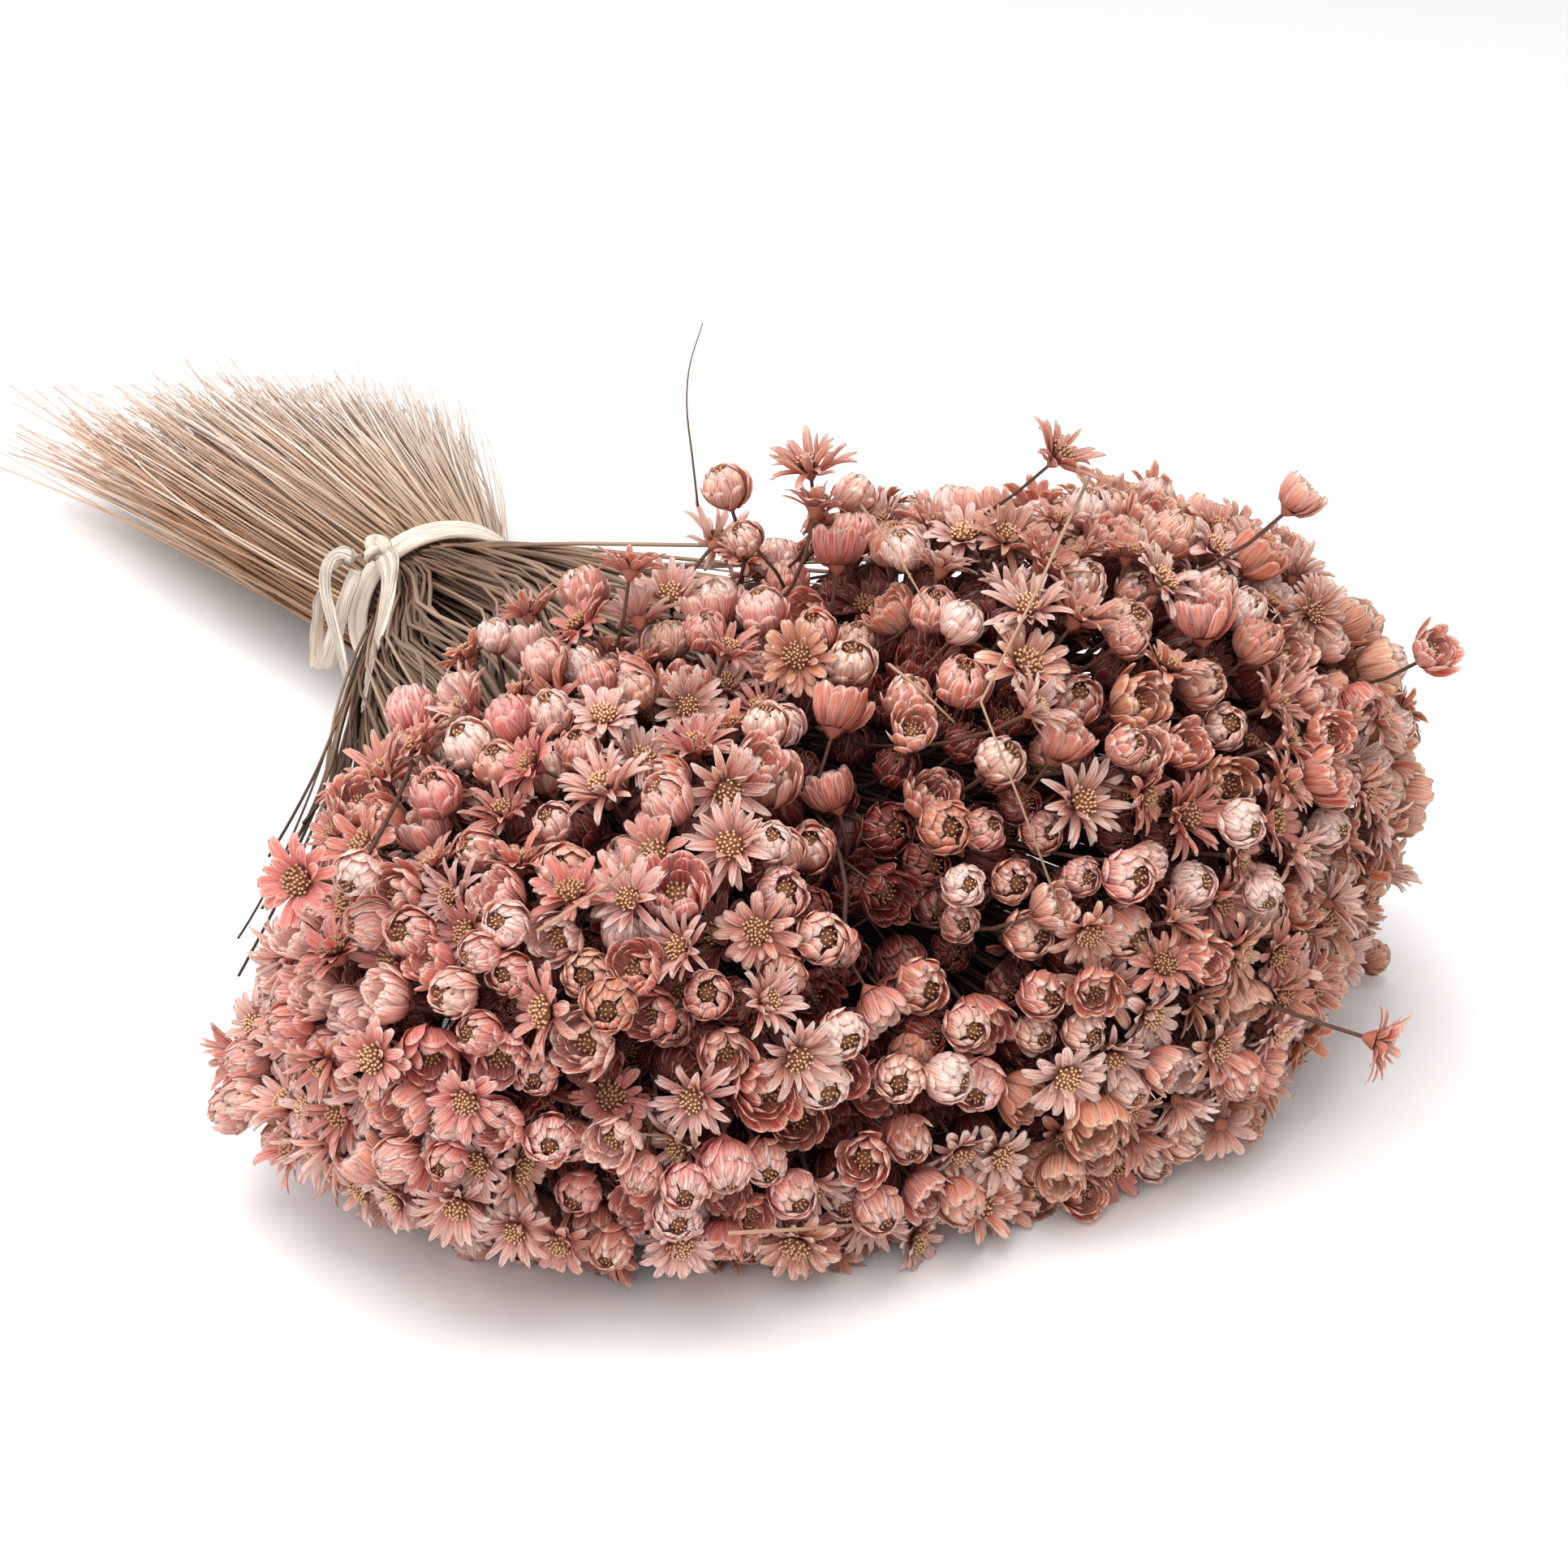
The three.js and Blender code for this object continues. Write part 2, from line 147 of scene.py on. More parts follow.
class Finish:
    """A material with one Principled shader."""

    def __init__(self, name, roughness, **constants):
        self.material = bpy.data.materials.new(name)
        self.material.use_nodes = True
        self.tree = self.material.node_tree
        self.shader = self.tree.nodes["Principled BSDF"]
        self.shader.inputs["Roughness"].default_value = roughness
        for socket, value in constants.items():
            self.shader.inputs[socket.replace("_", " ")].default_value = value
        parts = self.node("SeparateXYZ", {}, {0: self.node("UVMap", {"uv_map": MAP})})
        self.across = parts
        self.along = Wire(self, parts.socket.node.outputs[1])

    def node(self, kind, settings=None, inputs=None, output=0):
        made = self.tree.nodes.new("ShaderNode" + kind)
        for name, value in (settings or {}).items():
            if name == "stops":
                self.set_stops(made.color_ramp, value)
            else:
                setattr(made, name, value)
        for name, value in (inputs or {}).items():
            if isinstance(value, Wire):
                self.tree.links.new(value.socket, made.inputs[name])
            else:
                made.inputs[name].default_value = value
        return Wire(self, made.outputs[output])

    @staticmethod
    def set_stops(ramp, stops):
        while len(ramp.elements) < len(stops):
            ramp.elements.new(1)
        for element, (place, colour) in zip(ramp.elements, stops):
            element.position = place
            element.color = colour

    def ramp(self, value, stops):
        return self.node("ValToRGB", {"stops": stops}, {0: value})

    def mix(self, share, one, other, how="MIX"):
        settings = {"data_type": "RGBA", "blend_type": how}
        return self.node("Mix", settings, {0: share, 6: one, 7: other}, output=2)

    def noise(self, x, y, z=0.0, detail=2.0):
        place = self.node("CombineXYZ", {}, {0: x, 1: y, 2: z})
        return self.node("TexNoise", {}, {"Vector": place, "Scale": 1.0, "Detail": detail})

    def wear(self, colour, height=None, depth_mm=0.1):
        self.tree.links.new(colour.socket, self.shader.inputs["Base Color"])
        if height is not None:
            bump = self.node("Bump", {}, {"Height": height, "Distance": depth_mm * MM, "Strength": 1.0})
            self.tree.links.new(bump.socket, self.shader.inputs["Normal"])


def colour(red, green, blue):
    """A paint as the eye names it, 0 to 255, turned into the shader's linear light."""
    parts = [part / 255 for part in (red, green, blue)]
    linear = [part / 12.92 if part < 0.0404 else ((part + 0.055) / 1.055) ** 2.4 for part in parts]
    return (*linear, 1.0)


raffia = Finish("raffia", 0.7)
fibres = raffia.noise(raffia.across * 34, raffia.along * 5, detail=4.0)
blotches = raffia.noise(raffia.across * 3, raffia.along * 9, 4.0)
skin = raffia.ramp(fibres, [
    (0.3, colour(196, 164, 138)), (0.47, colour(240, 222, 204)), (0.62, colour(254, 247, 238)),
])
skin = raffia.mix(blotches * 0.22, skin, colour(224, 194, 168))
raffia.wear(skin, fibres, 0.5)


def unit(vectors):
    return vectors / np.maximum(np.linalg.norm(vectors, axis=-1, keepdims=True), 1e-9)


def smooth_route(points, count):
    """A Catmull-Rom curve through the points, at evenly spread places."""
    points = np.array(points, float)
    padded = np.vstack([2 * points[0] - points[1], points, 2 * points[-1] - points[-2]])
    found = []
    for t in np.linspace(0, len(points) - 1, count):
        k = min(int(t), len(points) - 2)
        u = t - k
        a, b, c, d = padded[k:k + 4]
        found.append(0.5 * (2 * b + (c - a) * u + (2 * a - 5 * b + 4 * c - d) * u * u
                            + (3 * b - a - 3 * c + d) * u ** 3))
    return np.array(found)


def grid_faces(stations, corners, loop=False):
    """Quads between the rings of a swept shape, with its ends closed unless it is a loop."""
    quads = []
    for i in range(stations if loop else stations - 1):
        here, there = i * corners, (i + 1) % stations * corners
        for k in range(corners):
            after = (k + 1) % corners
            quads.append((here + k, here + after, there + after, there + k))
    if not loop:
        last = (stations - 1) * corners
        for k in range(1, corners // 2):
            first = (k - 1, k, corners - 1 - k, corners - k)
            quads.append(first[::-1])
            quads.append(tuple(last + n for n in first))
    return np.array(quads)


class Shape:
    """A closed mesh of quads: points in millimetres from the tie, faces, places on the map and finishes."""

    def __init__(self, points, faces, places, finish):
        self.points = points
        self.faces = faces
        self.places = places
        self.worn = finish if isinstance(finish, np.ndarray) else np.full(len(faces), finish)


def joined(shapes):
    starts = np.cumsum([0] + [len(shape.points) for shape in shapes])
    faces = np.vstack([shape.faces + start for shape, start in zip(shapes, starts)])
    points = np.vstack([shape.points for shape in shapes])
    places = np.vstack([shape.places for shape in shapes])
    return Shape(points, faces, places, np.concatenate([shape.worn for shape in shapes]))


def swept(route, out, sections, loop=False, finish=0, across_map=(0.0, 1.0), along_map=(0.0, 1.0)):
    """A strip along a route. Each section is a ring of points, across the strip and outward from it."""
    route, out = np.array(route, float), np.array(out, float)
    ahead = np.roll(route, -1, 0) - np.roll(route, 1, 0) if loop else np.gradient(route, axis=0)
    across = unit(np.cross(unit(ahead), out))
    upward = unit(np.cross(across, unit(ahead)))
    rings = route[:, None] + across[:, None] * sections[:, :, :1] + upward[:, None] * sections[:, :, 1:]
    stations, corners = sections.shape[:2]
    around = np.abs(np.linspace(-1, 1, corners, endpoint=False))
    along = np.linspace(0, 1, stations)
    if loop:
        along = 1 - np.abs(2 * along - 1)
    u = across_map[0] + around * (across_map[1] - across_map[0])
    v = along_map[0] + along * (along_map[1] - along_map[0])
    places = np.stack(np.broadcast_arrays(u[None, :], v[:, None]), -1).reshape(-1, 2)
    return Shape(rings.reshape(-1, 3), grid_faces(stations, corners, loop), places, finish)


def fibrous_sections(stations, width, thickness, seed, taper=None, corners=20, ridges=6):
    """Sections of a raffia strip: a flattened ring with ridges that wander along it."""
    rng = np.random.default_rng(seed)
    along = np.linspace(0, 1, stations)[:, None]
    turn = np.linspace(0, 2 * math.pi, corners, endpoint=False)[None, :]
    drift = 1.2 * np.sin(2 * math.pi * (along * rng.uniform(0.6, 1.4) + rng.random()))
    ridged = 1 + 0.3 * np.sin(ridges * turn + drift) + 0.15 * np.sin((ridges + 3) * turn - 2 * drift)
    breath = 1 + 0.12 * np.sin(2 * math.pi * (along * 2 + rng.random()))
    taper = np.ones_like(along) if taper is None else np.array(taper)[:, None]
    side = width / 2 * np.cos(turn) * breath * taper
    out = thickness / 2 * np.sin(turn) * ridged * np.sqrt(taper)
    return np.stack(np.broadcast_arrays(side, out), -1)


SHARP_EDGE = 100  # degrees, so that a paper-thin edge stays crisp and a thin straw stays round


def add_piece(name, shape, finishes, replaced=()):
    mesh = bpy.data.meshes.new(name)
    mesh.vertices.add(len(shape.points))
    mesh.vertices.foreach_set("co", (shape.points * MM + tie).astype(np.float32).ravel())
    mesh.loops.add(shape.faces.size)
    mesh.loops.foreach_set("vertex_index", shape.faces.astype(np.int32).ravel())
    mesh.polygons.add(len(shape.faces))
    mesh.polygons.foreach_set("loop_start", np.arange(0, shape.faces.size, 4, dtype=np.int32))
    mesh.polygons.foreach_set("material_index", shape.worn.astype(np.int32))
    mesh.polygons.foreach_set("use_smooth", np.ones(len(shape.faces), bool))
    layer = mesh.uv_layers.new(name=MAP)
    layer.data.foreach_set("uv", shape.places[shape.faces.ravel()].astype(np.float32).ravel())
    for finish in finishes:
        mesh.materials.append(finish.material)
    mesh.update(calc_edges=True)
    mesh.validate()
    mesh.set_sharp_from_angle(angle=math.radians(SHARP_EDGE))
    piece = bpy.data.objects.new(name, mesh)
    bpy.context.scene.collection.objects.link(piece)
    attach(piece, "root")
    if replaced:
        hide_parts(*replaced)
    return piece


TIE_HEIGHT = 28
GRIP_RADIUS = 17.87

TAIL_WIDTHS = [4.2, 4.8]  # the widths of the two flat strips
TAIL_THICKNESS = 0.9
TAIL_STATIONS = 60
TAIL_OVERRUN = 0.8  # so that the tapered tip still reaches the end of its route
SPLIT_FIBRES = 3
FIBRE_WIDTH, FIBRE_THICKNESS, FIBRE_SPREAD, FIBRE_LIFT = 0.9, 0.6, 0.42, 0.45
TAIL_ROUTES = [
    [
        (3.4, -20.6, 17.6), (3, -22.6, 18.4), (3.2, -24.6, 17.8), (4.4, -26.2, 16.1), (6.2, -27.2, 13.8),
        (8.2, -27.6, 11.2), (10.2, -27.7, 8.6), (12.2, -27.7, 6), (14.2, -27.7, 3.4), (16.2, -27.7, 0.8),
        (18, -27.7, -1.8), (19.8, -27.7, -4.4), (21.4, -27.8, -7), (22.8, -28, -9.6), (24, -28.3, -12),
    ],
    [
        (9.8, -15.6, 19.2), (13, -16.2, 19.6), (16.4, -17, 19.7), (19.8, -18.1, 19.5), (23.2, -19.5, 19),
        (26.8, -21.1, 18.3), (30.4, -22.9, 17.5), (34, -24.8, 16.7), (37.6, -26.8, 15.9), (41.2, -28.9, 15),
        (44.8, -31, 14), (48.4, -33, 13), (52, -34.9, 12), (55.6, -36.8, 11), (59, -38.6, 10),
    ],
]

for index, points in enumerate(TAIL_ROUTES):
    route = np.array(points) + (0, 0, TIE_HEIGHT)
    fine = smooth_route(route, TAIL_STATIONS)
    fine[-1] += unit(fine[-1] - fine[-2]) * TAIL_OVERRUN
    out = unit(fine * (0, 1, 1) - (0, 0, TIE_HEIGHT))
    share = np.linspace(0, 1, len(fine))
    taper = np.clip((1 - share) * 2.6, 0.3, 1) ** 0.7
    width = TAIL_WIDTHS[index]
    strips = [swept(fine, out, fibrous_sections(TAIL_STATIONS, width, TAIL_THICKNESS, index, taper))]
    for fibre in range(SPLIT_FIBRES):
        lean = (fibre - 1) * FIBRE_SPREAD * width * (1 - 0.75 * share[:, None])
        beside = fine + unit(np.cross(np.gradient(fine, axis=0), out)) * lean + out * FIBRE_LIFT
        beside = beside[: TAIL_STATIONS - 4 * fibre]
        thin = fibrous_sections(
            len(beside), FIBRE_WIDTH, FIBRE_THICKNESS, 10 + fibre, taper[: len(beside)], corners=8, ridges=3
        )
        strips.append(swept(beside, out[: len(beside)], thin))
    tail = add_piece(
        f"raffia_end_{index + 1}", joined(strips), [raffia], [f"raffia_tail_{index + 1}"]
    )

# ---- Raffia: the wrap ----
# The same strip goes twice round the stems and is pulled tight, so that its two turns lie side by side and
# bite a little into the bundle.

WRAP_WIDTH = 3.9
WRAP_THICKNESS = 1.9
WRAP_STATIONS = 96
WRAP_ASIDE = 2.05  # how far the middle of each turn lies from the middle of the tie
WRAP_PROUD = 0.9  # how far it lies outside the gripped stems


def closed_up(sections):
    """The sections of a loop, with its last ones eased into the first."""
    ends = np.linspace(0, 1, len(sections))[:, None, None] ** 8
    return sections * (1 - ends) + sections[:1] * ends


for index, side in enumerate((-1, 1)):
    rng = np.random.default_rng(40 + index)
    turn = np.linspace(0, 2 * math.pi, WRAP_STATIONS, endpoint=False)
    wander = 0.35 * np.sin(turn * 2 + rng.random() * 6) + 0.2 * np.sin(turn * 5 + rng.random() * 6)
    radius = GRIP_RADIUS + WRAP_PROUD + 0.25 * np.sin(turn * 3 + rng.random() * 6)
    route = np.stack([
        side * WRAP_ASIDE + wander * side * 0.5,
        radius * np.cos(turn),
        TIE_HEIGHT + radius * np.sin(turn),
    ], -1)
    out = np.stack([0 * turn, np.cos(turn), np.sin(turn)], -1)
    wave = 1 + 0.1 * np.sin(turn * 4 + index)
    sections = closed_up(fibrous_sections(WRAP_STATIONS, WRAP_WIDTH, WRAP_THICKNESS, 0, wave))
    add_piece(
        f"raffia_turn_{index + 1}", swept(route, out, sections, loop=True), [raffia],
        [f"raffia_wrap_{index + 1}"],
    )

# ---- Raffia: the knot ----
# The ends are crossed and pulled into one small overhand knot, where the strip bunches up into a rope.

KNOT_AHEAD, KNOT_OUT, KNOT_AROUND = 4, 24, 2.25
KNOT_SIZE = np.array([4.3, 3.7, 2.2])
STRAND_WIDTH, STRAND_THICKNESS = 2.6, 1.7
STRAND_ROOM = np.array([1.3, 1.3, 1.0])  # kept for the strand between its midline and the knot's outside
KNOT_STATIONS = 120

turn = np.linspace(0, 2 * math.pi, KNOT_STATIONS, endpoint=False)
trefoil = np.stack([
    (np.sin(turn) + 2 * np.sin(2 * turn)) / 3,
    (np.cos(turn) - 2 * np.cos(2 * turn)) / 3,
    -np.sin(3 * turn),
], -1)
outward = np.array([0, math.cos(KNOT_AROUND), math.sin(KNOT_AROUND)])
sideways = np.cross(outward, (1, 0, 0))
axes = np.array([(1, 0, 0), sideways, outward])
knot_middle = np.array([KNOT_AHEAD, 0, TIE_HEIGHT]) + outward * KNOT_OUT
route = (trefoil * (KNOT_SIZE - STRAND_ROOM)) @ axes + knot_middle
sections = closed_up(fibrous_sections(KNOT_STATIONS, STRAND_WIDTH, STRAND_THICKNESS, 3))
facing = unit(np.stack([0.4 * np.cos(turn), 0.4 * np.sin(turn), 1 + 0 * turn], -1)) @ axes
knot = swept(route, facing, sections, loop=True)
add_piece("raffia_overhand_knot", knot, [raffia], ["raffia_knot"])

# ---- Raffia: the loop ----
# A slack loop of the same strip was left hanging from the knot, like half a bow.

LOOP_WIDTH, LOOP_THICKNESS, LOOP_STATIONS = 4.6, 0.8, 60
LOOP_ROUTE = [
    (3.5, -18.5, 45.5), (1.5, -21.8, 45), (-1.2, -24.4, 40.5), (-2.4, -26, 34), (-1.4, -27.2, 27),
    (1.6, -27.6, 22), (4.2, -26.8, 25), (5.2, -25, 31.5), (5.2, -22.4, 38.5), (4.6, -20, 43),
]
route = smooth_route(LOOP_ROUTE, LOOP_STATIONS)
out = unit(np.gradient(np.gradient(route, axis=0), axis=0) * -1 + (0.02, -0.01, 0))
share = np.linspace(0, 1, LOOP_STATIONS)
slack = 0.55 + 0.45 * np.sin(share * math.pi)
sections = fibrous_sections(LOOP_STATIONS, LOOP_WIDTH, LOOP_THICKNESS, 23, slack)
add_piece("raffia_loop", swept(route, out, sections), [raffia])

# ---- Flower heads: their kinds ----
# Each head is three whorls of dry papery bracts round a granular disc. Some stay closed as a ball, some
# open to a cup, most open to a star, and some are stars of narrow bracts that have rolled up lengthwise.

TINTS = 8  # from tan to strong pink
SHADES = 4  # from the dark brown of painted shade on the heads deep inside, through darker heads, to pale
PETAL_BAND, DISC_BAND, BASE_BAND = (0.02, 0.58), (0.62, 0.78), (0.82, 0.98)


def banded(finish, band):
    """A point's place along its band of the map, its column's tint and shade, and its place across."""
    scaled = finish.across * (TINTS * SHADES)
    column = finish.node("Math", {"operation": "FLOOR"}, {0: scaled})
    tint = finish.node("Math", {"operation": "FLOOR"}, {0: column / SHADES})
    shade = (column - tint * SHADES) / (SHADES - 1)
    along = (finish.along - band[0]) / (band[1] - band[0])
    return along, tint / (TINTS - 1), shade, scaled - column, column


petals = Finish(
    "dried_petal", 0.6, Subsurface_Weight=0.4, Subsurface_Radius=(1.0, 0.35, 0.25), Subsurface_Scale=0.0015
)
along, tint, shade, across, column = banded(petals, PETAL_BAND)
veins = petals.noise(across * 9 + column * 7, along * 1.6, column, detail=4.0)
mottle = petals.noise(across * 2 + column * 3, along * 4, column + 9, detail=3.0)
tan_bract = petals.ramp(along, [
    (0.0, colour(130, 64, 36)), (0.4, colour(196, 132, 98)), (0.8, colour(220, 168, 136)),
    (1.0, colour(246, 212, 190)),
])
pink_bract = petals.ramp(along, [
    (0.0, colour(164, 60, 44)), (0.4, colour(222, 122, 116)), (0.8, colour(240, 160, 156)),
    (1.0, colour(254, 216, 214)),
])
bract = petals.mix(tint, tan_bract, pink_bract)
bract = petals.mix(shade * shade * shade * along * 0.9, bract, colour(255, 228, 224))
# Heads in the darkest column, the inner ones and those sunk deep in the crown, are multiplied down to dark
# brown: painted shade where little light reaches them.
painted_deep_shade = petals.node("MapRange", {}, {0: shade, 1: 0.0, 2: 0.34, 3: 1.0, 4: 0.0})
bract = petals.mix(painted_deep_shade, bract, colour(132, 62, 38), "MULTIPLY")
# The darker columns are dimmed further: heads that are darker at random, and painted shade on the inner and
# deep-sunk ones.
bract = petals.mix((1 - shade) * 0.3, bract, colour(184, 122, 92), "MULTIPLY")
streak = petals.ramp(veins, [
    (0.34, colour(190, 118, 98)), (0.47, colour(240, 212, 198)), (0.56, colour(255, 246, 240)),
    (0.64, colour(255, 255, 255)),
])
bract = petals.mix(0.75, bract, streak, "MULTIPLY")
sheen = petals.node("MapRange", {}, {0: veins, 1: 0.52, 2: 0.72, 3: 0.0, 4: 0.4})
bract = petals.mix(sheen * along, bract, colour(255, 232, 224))
edge = petals.node("Math", {"operation": "ABSOLUTE"}, {0: across - 0.5}) * 2
rim = petals.node("MapRange", {"interpolation_type": "SMOOTHSTEP"}, {0: edge, 1: 0.7, 2: 1.0, 3: 0.0, 4: 0.35})
bract = petals.mix(rim * (1 - along), bract, colour(180, 92, 76), "MULTIPLY")
bract = petals.mix(rim * along, bract, colour(255, 228, 220))
bract = petals.mix(mottle * 0.4, bract, colour(224, 164, 130), "MULTIPLY")
petals.wear(bract, veins, 0.45)

discs = Finish("granular_disc", 0.85)
along, tint, shade, across, column = banded(discs, DISC_BAND)
grain = discs.ramp(along, [
    (0.0, colour(80, 42, 24)), (0.4, colour(130, 82, 52)), (0.75, colour(184, 134, 96)),
    (1.0, colour(222, 182, 144)),
])
# The darker columns darken the disc as well: darker heads at random, and painted shade on the inner and
# deep-sunk ones.
grain = discs.mix((1 - shade) * 0.7, grain, colour(160, 112, 80), "MULTIPLY")
discs.wear(grain)

bases = Finish("flower_base", 0.8)
along, tint, shade, across, column = banded(bases, BASE_BAND)
bases.wear(bases.mix(tint, colour(128, 78, 52), colour(168, 96, 80)))

PETALS, DISCS, BASES = 0, 1, 2

# Midlines of a bract from its base to its tip, outward and upward in millimetres
CLOSED = np.array([(0.6, -3.5), (2.8, -2.7), (3.9, -0.8), (4.0, 1.2), (3.5, 2.8), (2.9, 3.9)])
OPEN = np.array([(0.6, -2.6), (2.4, -1.9), (4.0, -0.4), (5.2, 1.1), (6.2, 2.3), (7.0, 3.2)])
FLAT = np.array([(0.8, -1.3), (2.4, -0.6), (4.0, 0.1), (5.4, 0.45), (6.7, 0.5), (7.8, 0.3)])
BROAD = np.array([0.35, 0.8, 1.0, 1.0, 0.86, 0.4])
BLUNT = np.array([0.4, 0.7, 0.92, 1.0, 0.92, 0.5])
NARROW = np.array([0.5, 0.8, 1.0, 0.95, 0.75, 0.3])


def petal(midline, half_width, cup, wrapped, overlap=0.0, thickness=0.2):
    """One bract as a thin closed shell, pointing outward along the first axis, one edge tucked under."""
    ahead = unit(np.gradient(midline, axis=0))
    inner = np.stack([-ahead[:, 1], ahead[:, 0]], -1)
    rings = []
    for side, lift in ((-1, 0.0), (0, 0.5), (1, 0.0), (0, -0.5)):
        offset = (cup * abs(side) + overlap * side) * half_width + lift * thickness
        along = midline + inner * offset[:, None]
        angle = wrapped * side * half_width / np.maximum(along[:, 0], 1.4)
        flat = (1 - wrapped) * side * half_width
        rings.append(np.stack([
            along[:, 0] * np.cos(angle),
            along[:, 0] * np.sin(angle) + flat,
            along[:, 1],
        ], -1))
    points = np.stack(rings, 1)
    v = np.linspace(0, 1, len(midline))[:, None]
    u = np.array([[0.04, 0.5, 0.96, 0.5]])
    v = PETAL_BAND[0] + v * (PETAL_BAND[1] - PETAL_BAND[0])
    places = np.stack(np.broadcast_arrays(u, v), -1).reshape(-1, 2)
    return Shape(points.reshape(-1, 3), grid_faces(len(midline), 4), places, PETALS)


def spun(shape, lean, spin, size=1.0):
    """The shape leaned outward round the bract's base and then turned round the flower's axis."""
    points = shape.points * size
    base = points[:4].mean(0)
    c, s = math.cos(lean), math.sin(lean)
    leaned = (points - base) @ np.array([(c, 0, -s), (0, 1, 0), (s, 0, c)]) + base
    c, s = math.cos(spin), math.sin(spin)
    return Shape(leaned @ np.array([(c, s, 0), (-s, c, 0), (0, 0, 1)]), shape.faces, shape.places, shape.worn)


def whorl(rng, count, midline, half_width, cup, wrapped, looseness, overlap=0.0, uneven=0.09):
    found = []
    start = rng.random() * 2 * math.pi
    for k in range(count):
        spin = start + (k + rng.normal(0, 0.14)) * 2 * math.pi / count
        width = half_width * rng.uniform(0.85, 1.12)
        one = petal(midline, width, cup * rng.uniform(0.6, 1.4), wrapped, overlap * rng.uniform(0.5, 1.5))
        found.append(spun(one, rng.normal(0, looseness), spin, rng.uniform(1 - uneven, 1 + uneven * 0.7)))
    return found


def turned_ring(profile, sides, band, shares, finish):
    """A turned shape from its profile, outward and upward, with its ends closed."""
    turn = np.linspace(0, 2 * math.pi, sides, endpoint=False)
    profile = np.array(profile)
    points = np.stack([
        profile[:, :1] * np.cos(turn), profile[:, :1] * np.sin(turn), profile[:, 1:] + 0 * turn,
    ], -1)
    u = np.abs(np.linspace(-1, 1, sides, endpoint=False)) * 0.9 + 0.05
    v = band[0] + np.array(shares)[:, None] * (band[1] - band[0])
    places = np.stack(np.broadcast_arrays(u[None, :], v), -1).reshape(-1, 2)
    return Shape(points.reshape(-1, 3), grid_faces(len(profile), sides), places, finish)


def disc(rng, radius, height, grains):
    """A low dome set with grains in a sunflower's spiral."""
    dome = [
        (radius * 0.75, height - 1.3), (radius, height - 0.5), (radius * 0.72, height),
        (radius * 0.2, height + 0.25),
    ]
    found = [turned_ring(dome, 8, DISC_BAND, (0.0, 0.25, 0.3, 0.35), DISCS)]
    for k in range(grains):
        out = math.sqrt((k + 0.5) / grains)
        angle = k * math.pi * (3 - math.sqrt(5)) + rng.normal(0, 0.1)
        middle = np.array([math.cos(angle) * out * radius, math.sin(angle) * out * radius, 0])
        floor = height + 0.25 * (1 - out * out) - 0.55 * out ** 4
        wide = radius * 0.17
        tall = 0.5 * rng.uniform(0.7, 1.4)
        square = np.array([(1, 0), (0, 1), (-1, 0), (0, -1)])
        ring_low = np.c_[square * wide, np.full(4, floor - 0.25)] + middle
        ring_high = np.c_[square * wide * 0.55, np.full(4, floor + tall)] + middle * (1 + 0.12 * out)
        v = [DISC_BAND[0] + 0.1 * (DISC_BAND[1] - DISC_BAND[0])] * 4 + [DISC_BAND[1]] * 4
        places = np.stack([np.tile((0.2, 0.4, 0.6, 0.8), 2), v], -1)
        found.append(Shape(np.vstack([ring_low, ring_high]), grid_faces(2, 4), places, DISCS))
    return found


def ball_midline(radius, stop):
    """A bract's midline up the side of a ball, to an angle from the top."""
    angle = np.radians(np.linspace(165, stop, 6))
    flared = radius + np.array([0, 0, 0, 0, 0.05, 0.3])
    return np.stack([flared * np.sin(angle), flared * np.cos(angle)], -1)


def closed_head(rng):
    found = []
    for count, radius, stop in ((6, 3.75, 26), (7, 4.0, 46), (8, 4.2, 80)):
        found += whorl(rng, count, ball_midline(radius, stop), BROAD * 2.3, 0.0, 1.0, 0.03, overlap=0.14)
    found += disc(rng, 1.7, 2.5, 14)
    return found + [turned_ring([(0.4, -5), (1.1, -4.3), (2.2, -3.3)], 6, BASE_BAND, (0, 0.5, 1), BASES)]


def cup_head(rng):
    found = []
    for count, opening, size in ((9, 0.45, 1.08), (8, 0.22, 1.0), (7, 0.0, 0.86)):
        midline = (CLOSED + (OPEN - CLOSED) * (opening + rng.uniform(-0.08, 0.12))) * size
        found += whorl(rng, count, midline, BROAD * 1.85 * size, 0.05, 0.85, 0.08, overlap=0.16)
    found += disc(rng, 2.1, 0.4, 22)
    return found + [turned_ring([(0.4, -4.9), (1.1, -4.2), (2.1, -3.1)], 6, BASE_BAND, (0, 0.5, 1), BASES)]


def star_head(rng):
    found = []
    for count, opening, size in ((11, 1.0, 1.0), (10, 0.6, 0.95), (7, 0.1, 0.72)):
        midline = (OPEN + (FLAT - OPEN) * opening) * size
        found += whorl(rng, count, midline, BLUNT * 1.1 * size, 0.25, 0.0, 0.24, uneven=0.2)
    found += disc(rng, 2.6, 0.9, 40)
    return found + [turned_ring([(0.4, -3.8), (1.0, -3.1), (2.0, -1.4)], 6, BASE_BAND, (0, 0.5, 1), BASES)]


def rolled_head(rng):
    found = []
    for count, opening, size in ((11, 0.75, 1.05), (10, 0.3, 1.0), (8, -0.15, 0.8)):
        midline = (OPEN + (FLAT - OPEN) * opening) * size
        found += whorl(rng, count, midline, NARROW * 0.8 * size, 0.8, 0.0, 0.24, uneven=0.2)
    found += disc(rng, 2.2, 0.7, 30)
    return found + [turned_ring([(0.4, -3.8), (1.0, -3.1), (1.8, -1.6)], 6, BASE_BAND, (0, 0.5, 1), BASES)]


